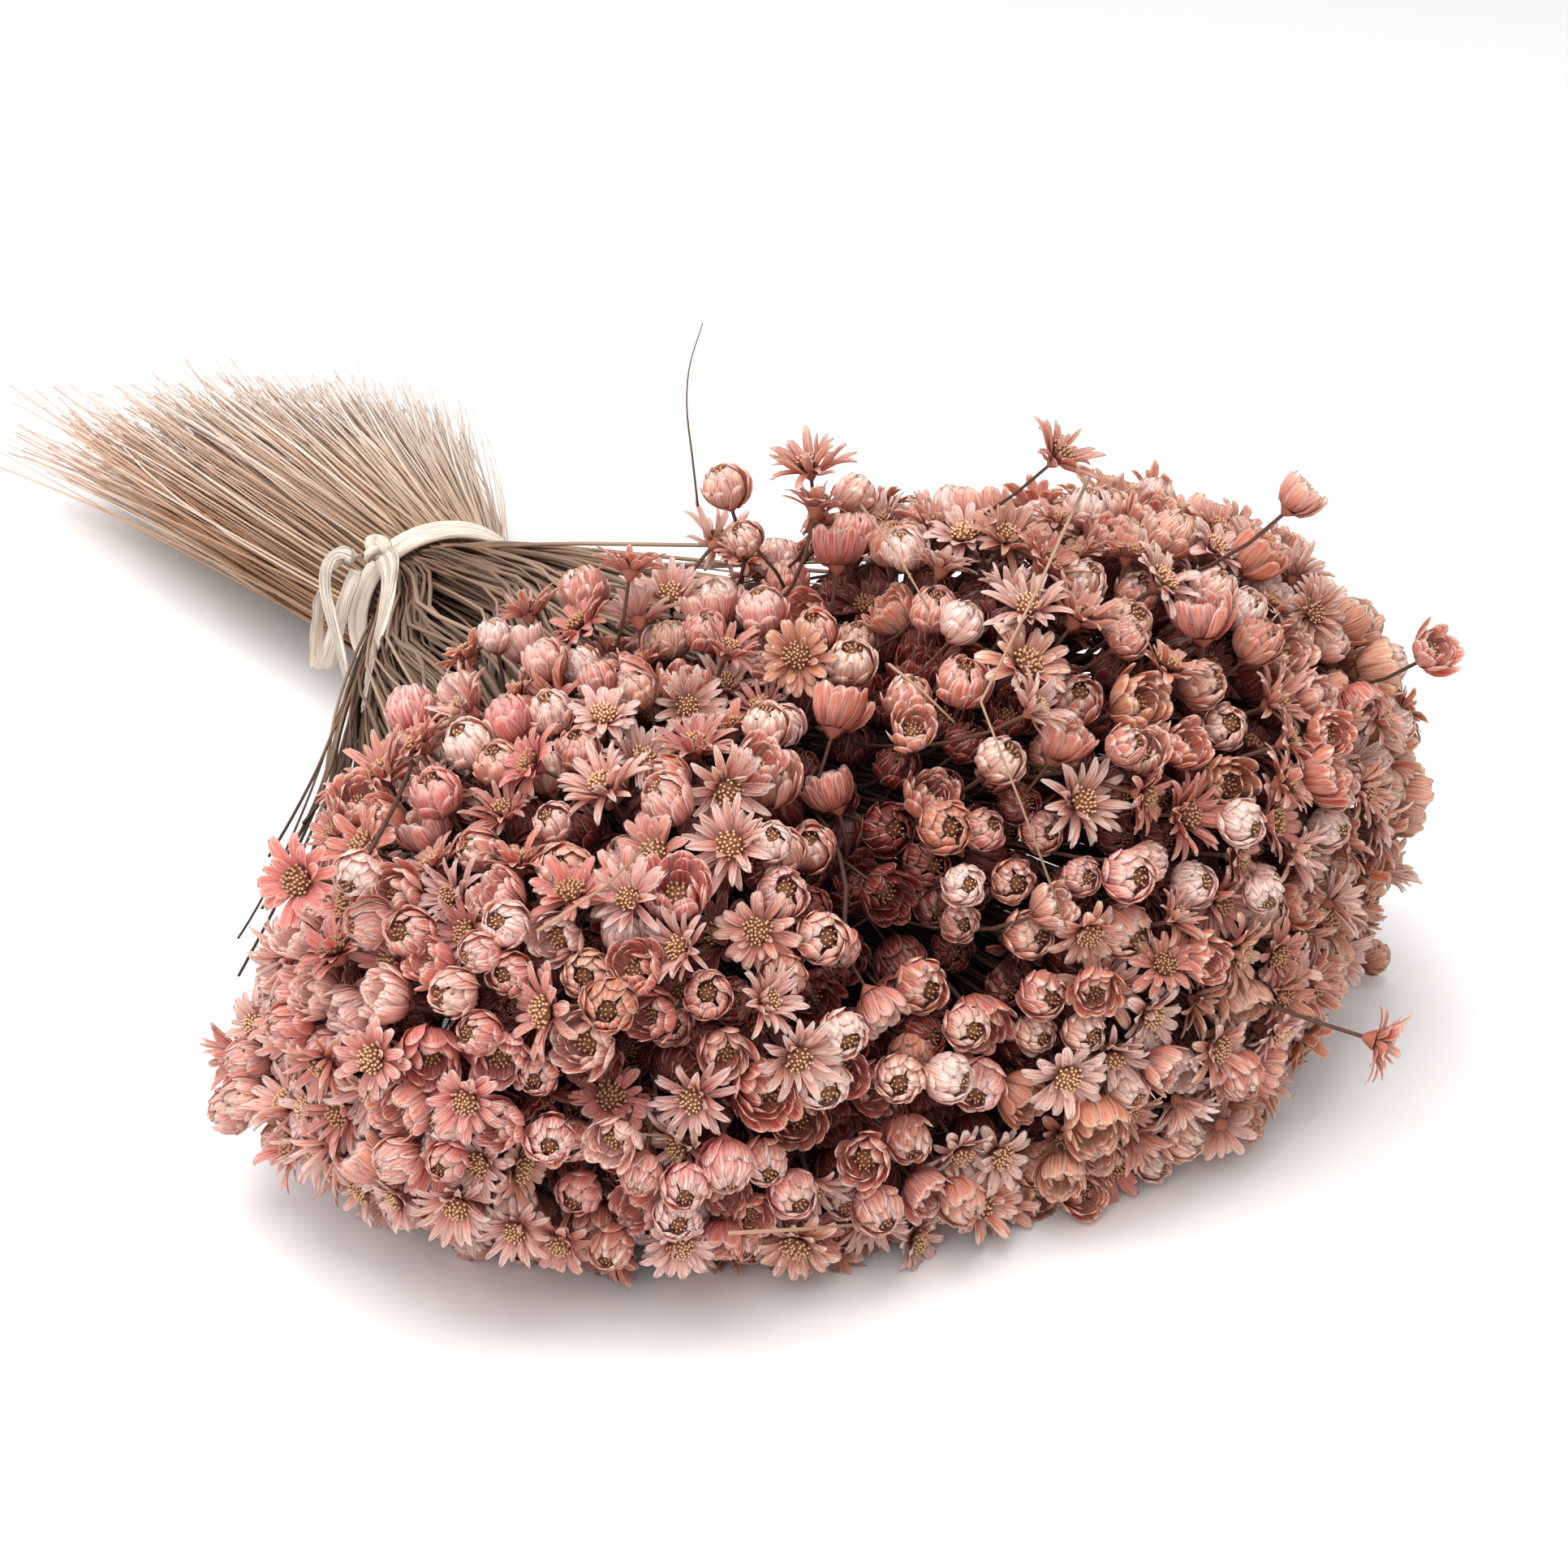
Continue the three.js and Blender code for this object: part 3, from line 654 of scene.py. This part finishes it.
KINDS = [closed_head, cup_head, star_head, rolled_head]
KIND_SHARES = [0.25, 0.2, 0.35, 0.2]
KIND_ROOM = [7.7, 8.2, 9.6, 9.4]  # how far apart the middles of two such heads lie
KIND_SUNK = [6.6, 6.8, 6.4, 6.4]  # how far its middle lies under the crown's surface
KIND_STALK = [4.8, 4.7, 3.6, 3.6]  # from its middle back to its stem
KIND_SIZE = [0.92, 0.9, 0.82, 0.88]
VARIANTS = 6

pattern_rng = np.random.default_rng(7)
patterns = [[joined(kind(pattern_rng)) for _ in range(VARIANTS)] for kind in KINDS]

# ---- The crown ----
# The heads crowd into a broad crown with a lobe to either side and a dark crevice between them. Seen from
# the cut ends the right lobe is lower and set forward. The lowest heads are pressed on the table.

CROWN_MIDDLE, CROWN_OFFSET, CROWN_HEIGHT = 168, 7, 38
CROWN_FRONT, CROWN_BACK, CROWN_HALF_WIDTH = 71, 75, 110
RIGHT_LOBE_RISE, LEFT_LOBE_RISE, LOBE_BLEND = 54, 74, 12
RIGHT_LOBE_LEAD = 0.14
CROWN_DROP = 60
CROWN_SQUARENESS = 2.5
CROWN_BACK_LIMIT = -0.47

crown_rng = np.random.default_rng(21)


def lobe_rise(y):
    return RIGHT_LOBE_RISE + (LEFT_LOBE_RISE - RIGHT_LOBE_RISE) * (0.5 + 0.5 * np.tanh(y / LOBE_BLEND))


def crown_point(direction, share=1.0):
    x, y, z = direction.T
    reach = share * (np.abs(direction) ** CROWN_SQUARENESS).sum(-1) ** (-1 / CROWN_SQUARENESS)
    side = CROWN_OFFSET + y * reach * CROWN_HALF_WIDTH
    lead = RIGHT_LOBE_LEAD * np.maximum(0, CROWN_OFFSET - side)
    along = CROWN_MIDDLE + lead + x * reach * np.where(x > 0, CROWN_FRONT, CROWN_BACK)
    up = CROWN_HEIGHT + z * reach * np.where(z > 0, lobe_rise(side), CROWN_DROP)
    return np.stack([along, side, up], -1)


def polar_direction(polar, around):
    polar, around = np.asarray(polar, float), np.asarray(around, float)
    sideways = np.sin(polar)
    return np.stack([np.cos(polar), sideways * np.cos(around), sideways * np.sin(around)], -1)


def crown_facing(direction, surface):
    """Outward from the crown: between straight out of its middle and square to its surface."""
    scale = np.array([(CROWN_FRONT + CROWN_BACK) / 2, CROWN_HALF_WIDTH, 60])
    square = np.sign(direction) * np.abs(direction) ** (CROWN_SQUARENESS - 1) / scale
    return unit(unit(surface - (CROWN_MIDDLE, CROWN_OFFSET, CROWN_HEIGHT)) + 1.5 * unit(square))


CREVICE_DEPTH, CREVICE_HALF_WIDTH, CREVICE_START, CREVICE_FOOT = 17, 9, 140, 12

# Hollows between the heads: a point near each, its radius and its depth
HOLLOWS = [
    ((208, -8, 90), 13, 30), ((219, -9, 84), 14, 36), ((229, -13, 74), 14, 40), ((237, -11, 62), 14, 36),
    ((204, -57, 83), 7, 18), ((218, 31, 96), 8, 20), ((222, 54, 87), 8, 20), ((233, 16, 75), 11, 26),
    ((237, -65, 47), 8, 20), ((237, -55, 57), 7, 16), ((240, -13, 30), 8, 20), ((242, -30, 32), 8, 20),
    ((235, -72, 31), 8, 20), ((225, 70, 50), 7, 16),
]
# Places where the whole crown has slumped: a point near each, its radius and its depth
SLUMPS = [
    ((216, -76, 0), 26, 12), ((196, -94, 5), 16, 4), ((232, -44, 0), 24, 5), ((150, -96, 52), 17, 19),
    ((138, -72, 74), 18, 3), ((214, 98, 18), 32, 11), ((140, 50, 106), 26, 12), ((131, 12, 102), 15, 6),
    ((162, -101, 26), 13, -9), ((133, -38, 84), 18, -6), ((132, -12, 90), 16, -4),
]
SPARSENESS = 0.03  # how much further apart the heads stand for each millimetre of a hollow's depth


def nearness(points, middle, radius):
    return np.exp(-(np.linalg.norm(points - middle, axis=-1) / radius) ** 2)


def hollow_sink(points):
    sink = CREVICE_DEPTH * np.exp(-((points[:, 1] - CROWN_OFFSET) / CREVICE_HALF_WIDTH) ** 2)
    ahead = np.clip((points[:, 0] - CREVICE_START) / 30, 0, 1)
    above = np.clip((points[:, 2] - CREVICE_FOOT) / 40, 0, 1)
    sink = sink * ahead * above
    for middle, radius, depth in HOLLOWS:
        sink = np.maximum(sink, depth * nearness(points, middle, radius))
    return sink


def slump(points):
    return sum(depth * nearness(points, middle, radius) for middle, radius, depth in SLUMPS)


def settle_heads(tries, under, room_scale, kind_shares, most):
    """Heads spread over the crown with no two too close, so far under its surface."""
    ahead = 1 - 2 * (np.arange(tries) + 0.5) / tries
    around = np.arange(tries) * math.pi * (3 - math.sqrt(5))
    direction = polar_direction(np.arccos(ahead), around)
    direction = direction[direction[:, 0] > CROWN_BACK_LIMIT]
    direction = direction[crown_rng.permutation(len(direction))]
    surface = crown_point(direction)
    facing = crown_facing(direction, surface)
    hollow = hollow_sink(surface)
    kinds = crown_rng.choice(len(KINDS), len(direction), p=kind_shares)
    kinds = np.where((hollow > 4) & (crown_rng.random(len(direction)) < 0.8), kinds % 2, kinds)
    size = np.array(KIND_SIZE)[kinds] * crown_rng.normal(1, 0.09, len(direction)).clip(0.8, 1.2)
    sunk = np.array(KIND_SUNK)[kinds] + crown_rng.uniform(-2.0, 6.0, len(direction)) + under
    sunk = sunk + hollow * crown_rng.uniform(0.65, 1.0, len(direction))
    places = surface - facing * (sunk + slump(surface))[:, None]
    places[:, 2] = np.maximum(places[:, 2], 3.2 + crown_rng.uniform(0, 1.5, len(direction)))
    room = np.array(KIND_ROOM)[kinds] * size * room_scale
    if not under:
        room = room * (1 + SPARSENESS * hollow)
    kept = []
    for i in range(len(direction)):
        if len(kept) >= most:
            break
        if kept:
            near = np.linalg.norm(places[kept] - places[i], axis=-1)
            if (near < (room[kept] + room[i]) / 2).any():
                continue
        kept.append(i)
    return [
        {
            "place": places[i], "facing": facing[i], "direction": direction[i], "kind": kinds[i],
            "size": size[i], "deep": sunk[i], "inner": under > 0,
        }
        for i in kept
    ]


heads = settle_heads(16000, 0.0, 0.93, KIND_SHARES, 1200)
inner_heads = settle_heads(5000, 13.0, 1.0, [0.5, 0.3, 0.2, 0.0], 560)

# Heads that stand clear of the rest: angle from straight ahead, angle round from the left over the top, how
# far they stand out, their kind and their size
STRAYS = [
    (1.74, 1.68, 12, 0, 0.95), (1.78, 1.82, 8, 2, 0.85), (1.62, 1.60, 10, 3, 0.9), (1.34, 1.32, 9, 3, 0.9),
    (1.14, 1.04, 14, 1, 0.75), (0.94, 0.72, 10, 1, 0.8), (0.46, -0.16, 14, 2, 0.9), (1.42, 2.52, 10, 2, 0.9),
    (1.70, 1.68, 4, 0, 0.7), (1.60, 1.60, 4, 2, 0.8), (1.46, -0.52, 6, 0, 0.8), (1.38, 2.48, 4, 0, 0.85),
]
for polar, around, stands_out, kind, size in STRAYS:
    direction = polar_direction(polar, around)
    surface = crown_point(direction[None])[0]
    facing = unit(surface - (CROWN_MIDDLE, CROWN_OFFSET, CROWN_HEIGHT))
    heads.append({
        "place": surface + facing * stands_out, "facing": facing, "direction": direction, "kind": kind,
        "size": size, "deep": 0, "inner": False,
    })
everything = heads + inner_heads

PALE_PATCH, PALE_RADIUS = (228, -44, 50), 38  # low on the right lobe, where the light has bleached the heads
PRESSED_BELOW = 9  # heads lower than this lie nearly flat
DARK_DEPTH, DIM_DEPTH = 26, 17  # heads that lie deeper than this get painted shade: the darkest column, or at most the darker one
for head in everything:
    tilt = crown_rng.normal(0, 0.3, 3)
    head["facing"] = unit(head["facing"] + tilt * (0.8 if head["kind"] == 0 else 1.3))
    if head["place"][2] < PRESSED_BELOW:
        head["facing"] = unit(head["facing"] * (1, 1, 0.4) + (0, 0, 0.25))
    side = head["place"][1]
    pinkness = 0.56 - 0.0034 * side + crown_rng.normal(0, 0.2)
    pale_patch = nearness(head["place"], PALE_PATCH, PALE_RADIUS)
    if head["kind"] == 2 and crown_rng.random() < 0.7 * pale_patch:
        head["kind"] = 3
    paleness = crown_rng.random() + (0.18 if head["kind"] == 3 else 0) * (1 + 4 * pale_patch)
    tint = int(np.clip(round(pinkness * (TINTS - 1)), 0, TINTS - 1))
    shade = 1 if paleness < 0.3 else 2 if paleness < 0.78 else 3
    # Inner and deep-sunk heads take the darkest column, and fairly deep ones at most the darker one: painted
    # shade deep in the crown.
    if head["inner"] or head["deep"] > DARK_DEPTH:
        shade = 0
    elif head["deep"] > DIM_DEPTH:
        shade = min(shade, 1)
    head["column"] = tint * SHADES + shade


def placed_head(head):
    pattern = patterns[head["kind"]][crown_rng.integers(VARIANTS)]
    spin = crown_rng.random() * 2 * math.pi
    up = head["facing"]
    side = unit(np.cross(up, (0.31, 0.2, 0.93) if abs(up[2]) < 0.8 else (0.9, 0.3, 0.1)))
    other = np.cross(up, side)
    c, s = math.cos(spin), math.sin(spin)
    axes = np.array([side * c + other * s, other * c - side * s, up])
    points = (pattern.points * head["size"]) @ axes + head["place"]
    points[:, 2] = np.maximum(points[:, 2], 0.25 + 0.02 * np.abs(points[:, 2]))
    places = pattern.places.copy()
    places[:, 0] = (head["column"] + places[:, 0]) / (TINTS * SHADES)
    return Shape(points, pattern.faces, places, pattern.worn)


# The heads are bound into nineteen sprays, one over each sheaf of stems
SPRAY_POLAR = [0, 0.7, 1.43]
SPRAY_DEPTH_SHARE = 0.8
SHEAF_PITCH = 7
cells = [(0, 0.0, 0.0)]
for ring in (1, 2):
    for side in range(6):
        for step in range(ring):
            start, on = side * math.pi / 3, (side + 2) * math.pi / 3
            cells.append((
                ring,
                SHEAF_PITCH * (ring * math.cos(start) + step * math.cos(on)),
                SHEAF_PITCH * (ring * math.sin(start) + step * math.sin(on)),
            ))
spray_middles = np.array([
    crown_point(polar_direction(SPRAY_POLAR[ring], math.atan2(z, y))[None], SPRAY_DEPTH_SHARE)[0]
    for ring, y, z in cells
])
sprays = [[] for _ in cells]
for head in everything:
    nearest = int(np.linalg.norm(spray_middles - head["place"], axis=-1).argmin())
    sprays[nearest].append(head)
for index, spray in enumerate(sprays):
    shape = joined([placed_head(head) for head in spray])
    add_piece(
        f"flowers_{index + 1}", shape, [petals, discs, bases], [f"flower_spray_{index + 1}"]
    )

# ---- Stems ----
# Every flower has its own thin dry stem, which runs unbroken from its cut end, through the tie, to the
# flower. Behind the tie the stems flare into a broom of pale straw, in front they are brown and weathered,
# with painted shade darkening them just in front of the tie and inside the crown.

BROOM_LENGTH, BROOM_NEAR, BROOM_FAR, BROOM_HALF_HEIGHT, BROOM_OFFSET = 160, 45, 56, 19, 9
BROOM_SLANT, BROOM_TOP_SLANT = 24, 22
BROOM_TOUCHDOWN = 1.3
GRIP_HALF_LENGTH = 4.1
STEM_RADIUS = 0.46
HAIR_RADIUS = 0.3
HAIRS_PER_SHEAF = 64
STEM_COLUMNS = 24
BARE_STEMS = 30
GAP_MIDDLE, GAP_RADIUS, GAP_HALF_WIDTH, GAP_STATION = (58, -16, 46), 20, 6.5, 6
NECK_STATIONS = 17

straw = Finish("dry_stem", 0.7)
scaled = straw.across * STEM_COLUMNS
column = straw.node("Math", {"operation": "FLOOR"}, {0: scaled})
tone = column / (STEM_COLUMNS - 1)
streak = straw.noise((scaled - column) * 3 + column * 5, straw.along * 26, column, detail=3.0)
# Along each stem the paint dips darker just in front of the tie (0.42 to 0.48) and turns dark brown towards
# the flower (0.86): painted shade in front of the tie and inside the crown, over the stems' own brown.
pale_straw = straw.ramp(straw.along, [
    (0.0, colour(250, 244, 238)), (0.2, colour(230, 214, 198)), (0.37, colour(192, 164, 138)),
    (0.42, colour(150, 118, 92)), (0.48, colour(128, 98, 76)), (0.6, colour(176, 148, 124)),
    (0.86, colour(88, 54, 38)),
])
warm_straw = straw.ramp(straw.along, [
    (0.0, colour(232, 200, 176)), (0.2, colour(180, 136, 100)), (0.37, colour(138, 100, 70)),
    (0.42, colour(90, 62, 44)), (0.48, colour(74, 48, 34)), (0.6, colour(106, 78, 60)),
    (0.86, colour(60, 34, 22)),
])
stalk = straw.mix(tone, pale_straw, warm_straw)
stalk = straw.mix((1 - streak) * 0.5, stalk, colour(176, 140, 108), "MULTIPLY")
straw.wear(stalk, streak, 0.15)


def thin_tubes(routes, radii, columns, alongs, sides):
    """Many thin tubes at once: routes are tube by station by place, each with its column of the map."""
    tubes, stations = routes.shape[:2]
    ahead = unit(np.gradient(routes, axis=1))
    bend = np.cross(routes[:, -1] - routes[:, 0], ahead[:, 0] - ahead[:, -1])
    length = np.linalg.norm(routes[:, -1] - routes[:, 0], axis=-1)[:, None]
    bend = unit(bend + np.array([0.02, 0.1, 1.0]) * 1e-3 * length)
    side = unit(np.cross(ahead, bend[:, None]))
    other = np.cross(ahead, side)
    turn = np.linspace(0, 2 * math.pi, sides, endpoint=False)
    ring = side[:, :, None] * np.cos(turn)[:, None] + other[:, :, None] * np.sin(turn)[:, None]
    points = routes[:, :, None] + ring * radii[:, :, None, None]
    u = (columns[:, None] + 0.1 + 0.8 * np.abs(np.linspace(-1, 1, sides, endpoint=False))) / STEM_COLUMNS
    places = np.stack(np.broadcast_arrays(u[:, None, :], alongs[:, :, None]), -1)
    faces = grid_faces(stations, sides)
    faces = faces[None] + np.arange(tubes)[:, None, None] * stations * sides
    return Shape(points.reshape(-1, 3), faces.reshape(-1, 4), places.reshape(-1, 2), 0)


stem_rng = np.random.default_rng(5)
BROOM_SHARES = np.array([1.0, 0.93, 0.8, 0.62, 0.4, 0.18, 0.04])
STRAY_SIDEWAYS, STRAY_UP, CURL_SIDEWAYS, CURL_UP = 5.0, 2.2, 4.0, 3.4  # how untidy the cut ends are
LOWEST_STRAW, LOWEST_STEM, LOWEST_FOOT = 0.4, 0.6, 0.8  # above the table
BARE_POLAR = 2.2


def broom_route(y, z, shortening):
    """Stems from their cut ends to the grip: stem by station by place."""
    reach = BROOM_LENGTH - (BROOM_SLANT * y + BROOM_TOP_SLANT * z) / GRIP_RADIUS - shortening
    x = GRIP_HALF_LENGTH + (reach[:, None] - GRIP_HALF_LENGTH) * BROOM_SHARES
    back = (x - GRIP_HALF_LENGTH) / (BROOM_LENGTH - GRIP_HALF_LENGTH)
    tall = 1 + (BROOM_HALF_HEIGHT / GRIP_RADIUS - 1) * back
    wide = 1 + (np.where(y < 0, BROOM_NEAR, BROOM_FAR)[:, None] / GRIP_RADIUS - 1) * back
    lifted = (TIE_HEIGHT - GRIP_RADIUS) * (1 - back / BROOM_TOUCHDOWN)
    stray = stem_rng.normal(0, 1, (len(y), 2))
    curl = stem_rng.normal(0, 1, (len(y), 2))
    bow = np.sin(BROOM_SHARES * math.pi) * stem_rng.normal(0, 1.3, (len(y), 1))
    side = BROOM_OFFSET * back + y[:, None] * wide + stray[:, :1] * STRAY_SIDEWAYS * back
    side = side + curl[:, :1] * CURL_SIDEWAYS * back ** 3 + bow
    up = GRIP_RADIUS * tall + lifted + z[:, None] * tall + stray[:, 1:] * STRAY_UP * back
    up = up + curl[:, 1:] * CURL_UP * back ** 3
    return np.stack([-x, side, np.maximum(up, LOWEST_STRAW)], -1)


def straw_column(y, z):
    """Whitish to the left, tan to the right and brown underneath."""
    tone = 0.5 - 0.02 * y - 0.012 * z + stem_rng.normal(0, 0.34, len(y))
    return np.clip(np.round(tone * (STEM_COLUMNS - 1)), 0, STEM_COLUMNS - 1)


polar = [math.acos(np.clip(head["direction"][0], -1, 1)) for head in everything]
polar = np.array(polar + [BARE_POLAR] * BARE_STEMS)
around = np.array([math.atan2(head["direction"][2], head["direction"][1]) for head in everything])
around = np.append(around, math.pi + stem_rng.normal(0.1, 0.2, BARE_STEMS))
rank = np.empty(len(polar))
rank[np.argsort(polar + stem_rng.normal(0, 0.12, len(polar)))] = np.arange(len(polar))
gripped = (GRIP_RADIUS - 0.6) * np.sqrt((rank + 0.5) / len(polar))
grip_y, grip_z = gripped * np.cos(around), gripped * np.sin(around)
cell_places = np.array([(y, z) for _, y, z in cells])
own_cell = np.linalg.norm(np.stack([grip_y, grip_z], -1)[:, None] - cell_places, axis=-1).argmin(1)

foot = np.array([
    head["place"] - head["facing"] * KIND_STALK[head["kind"]] * head["size"] for head in everything
])
end_facing = np.array([head["facing"] for head in everything])
# A few stems have lost their flower and fan out bare, low down beside the right lobe
fan = stem_rng.random(BARE_STEMS)
bare = np.stack([102 + 28 * fan, -58 - 30 * fan, 8 + 28 * stem_rng.random(BARE_STEMS)], -1)
bare += stem_rng.normal(0, 2.6, bare.shape)
foot = np.vstack([foot, bare])
end_facing = np.vstack([end_facing, unit(bare - (20, -14, 24))])
foot[:, 2] = np.maximum(foot[:, 2], LOWEST_FOOT)
start = np.stack([np.full(len(foot), GRIP_HALF_LENGTH), grip_y, TIE_HEIGHT + grip_z], -1)
start_facing = unit(np.stack([np.ones(len(foot)), 0.03 * grip_y, 0.022 * grip_z + 0.04], -1))
span = np.linalg.norm(foot - start, axis=-1)[:, None]
handle_one = start + start_facing * span * 0.42
handle_two = foot - end_facing * np.minimum(span * 0.3, 36)
t = np.linspace(0, 1, NECK_STATIONS)[None, :, None]
neck = (
    (1 - t) ** 3 * start[:, None] + 3 * (1 - t) ** 2 * t * handle_one[:, None]
    + 3 * (1 - t) * t ** 2 * handle_two[:, None] + t ** 3 * foot[:, None]
)
wobble = stem_rng.normal(0, 1, (len(foot), 1, 3)) * np.sin(t * math.pi) * 1.3
neck = neck + wobble * (0.2, 1, 1)
# Just in front of the knot the stems part to either side of a dark gap
beside_gap = np.sign(neck[:, GAP_STATION, 1] * GAP_MIDDLE[0] - neck[:, GAP_STATION, 0] * GAP_MIDDLE[1])
neck[:, :, 1] += GAP_HALF_WIDTH * beside_gap[:, None] * nearness(neck, GAP_MIDDLE, GAP_RADIUS)
neck[:, :, 2] = np.maximum(neck[:, :, 2], LOWEST_STEM)

broom = broom_route(grip_y, grip_z, 7 + 34 * stem_rng.random(len(foot)) ** 1.6)
routes = np.concatenate([broom, neck], 1)
broom_along = 0.4 * (1 - np.broadcast_to(BROOM_SHARES, broom.shape[:2]))
neck_along = 0.42 + 0.58 * np.broadcast_to(t[0, :, 0], neck.shape[:2])
alongs = np.concatenate([broom_along, neck_along], 1)
taper = np.concatenate([0.45 + 0.55 * (1 - BROOM_SHARES), np.linspace(1.0, 0.8, neck.shape[1])])
columns = straw_column(grip_y, grip_z)
thickness = np.array([0.62 if head["inner"] else 1.0 for head in everything] + [0.8] * BARE_STEMS)

hair_taper = 0.3 + 0.7 * (1 - BROOM_SHARES)

for index, (_, cell_y, cell_z) in enumerate(cells):
    mine = own_cell == index
    radii = STEM_RADIUS * thickness[mine, None] * stem_rng.uniform(0.75, 1.2, (mine.sum(), 1)) * taper
    stems = thin_tubes(routes[mine], radii, columns[mine], alongs[mine], 5)
    angle = stem_rng.random(HAIRS_PER_SHEAF) * 2 * math.pi
    off = SHEAF_PITCH * 0.56 * np.sqrt(stem_rng.random(HAIRS_PER_SHEAF))
    hair_y, hair_z = cell_y + off * np.cos(angle), cell_z + off * np.sin(angle)
    too_far = np.maximum(np.hypot(hair_y, hair_z) / (GRIP_RADIUS - 0.5), 1)
    hair_y, hair_z = hair_y / too_far, hair_z / too_far
    hair = broom_route(hair_y, hair_z, stem_rng.uniform(3, 52, HAIRS_PER_SHEAF))
    hair_radii = HAIR_RADIUS * stem_rng.uniform(0.6, 1.2, (HAIRS_PER_SHEAF, 1)) * hair_taper
    hair_along = 0.4 * (1 - np.broadcast_to(BROOM_SHARES, hair.shape[:2]))
    hairs = thin_tubes(hair, hair_radii, straw_column(hair_y, hair_z), hair_along, 4)
    add_piece(
        f"stems_{index + 1}", joined([stems, hairs]), [straw], [f"stem_sheaf_{index + 1}"]
    )

# ---- Loose straws ----
# Broken bits of stem have fallen across the flowers, and one hair-fine filament stands up above a bud.

LOOSE_STRAWS = [
    ([(181, 47, 112), (196, 33, 109), (209, 21, 106), (222, 4, 95), (231, 6, 82), (240, 10, 63)], 0.3),
    ([(172, 9, 109), (188, 7, 107), (203, 5, 103)], 0.26),
    ([(207, -4, 97), (214, -2, 95), (221, 0, 92)], 0.26),
    ([(223, -70, 73), (223, -59, 78), (219, -48, 83)], 0.3),
    ([(239, -47, 24), (240, -35, 22), (239, -22, 19)], 0.36),
]
LOOSE_COLUMN = 14  # the paint of the first one, and the next for each after it
for index, (points, radius) in enumerate(LOOSE_STRAWS):
    route = np.array(points, float)[None]
    radii = np.full((1, len(points)), radius) * np.linspace(1, 0.6, len(points))
    alongs = np.linspace(0.26, 0.4, len(points))[None]
    shape = thin_tubes(route, radii, np.array([LOOSE_COLUMN + index]), alongs, 8)
    add_piece(f"loose_straw_{index + 1}", shape, [straw])

FILAMENT = [(139, -5, 100), (137, -5, 108), (135, -5, 116), (134, -4, 123), (133, -1, 130)]
FILAMENT_STATIONS, FILAMENT_COLUMN = 16, 20
route = smooth_route(FILAMENT, FILAMENT_STATIONS)[None]
radii = np.linspace(0.22, 0.1, FILAMENT_STATIONS)[None]
alongs = np.linspace(0.5, 0.6, FILAMENT_STATIONS)[None]
shape = thin_tubes(route, radii, np.array([FILAMENT_COLUMN]), alongs, 6)
add_piece("filament", shape, [straw])
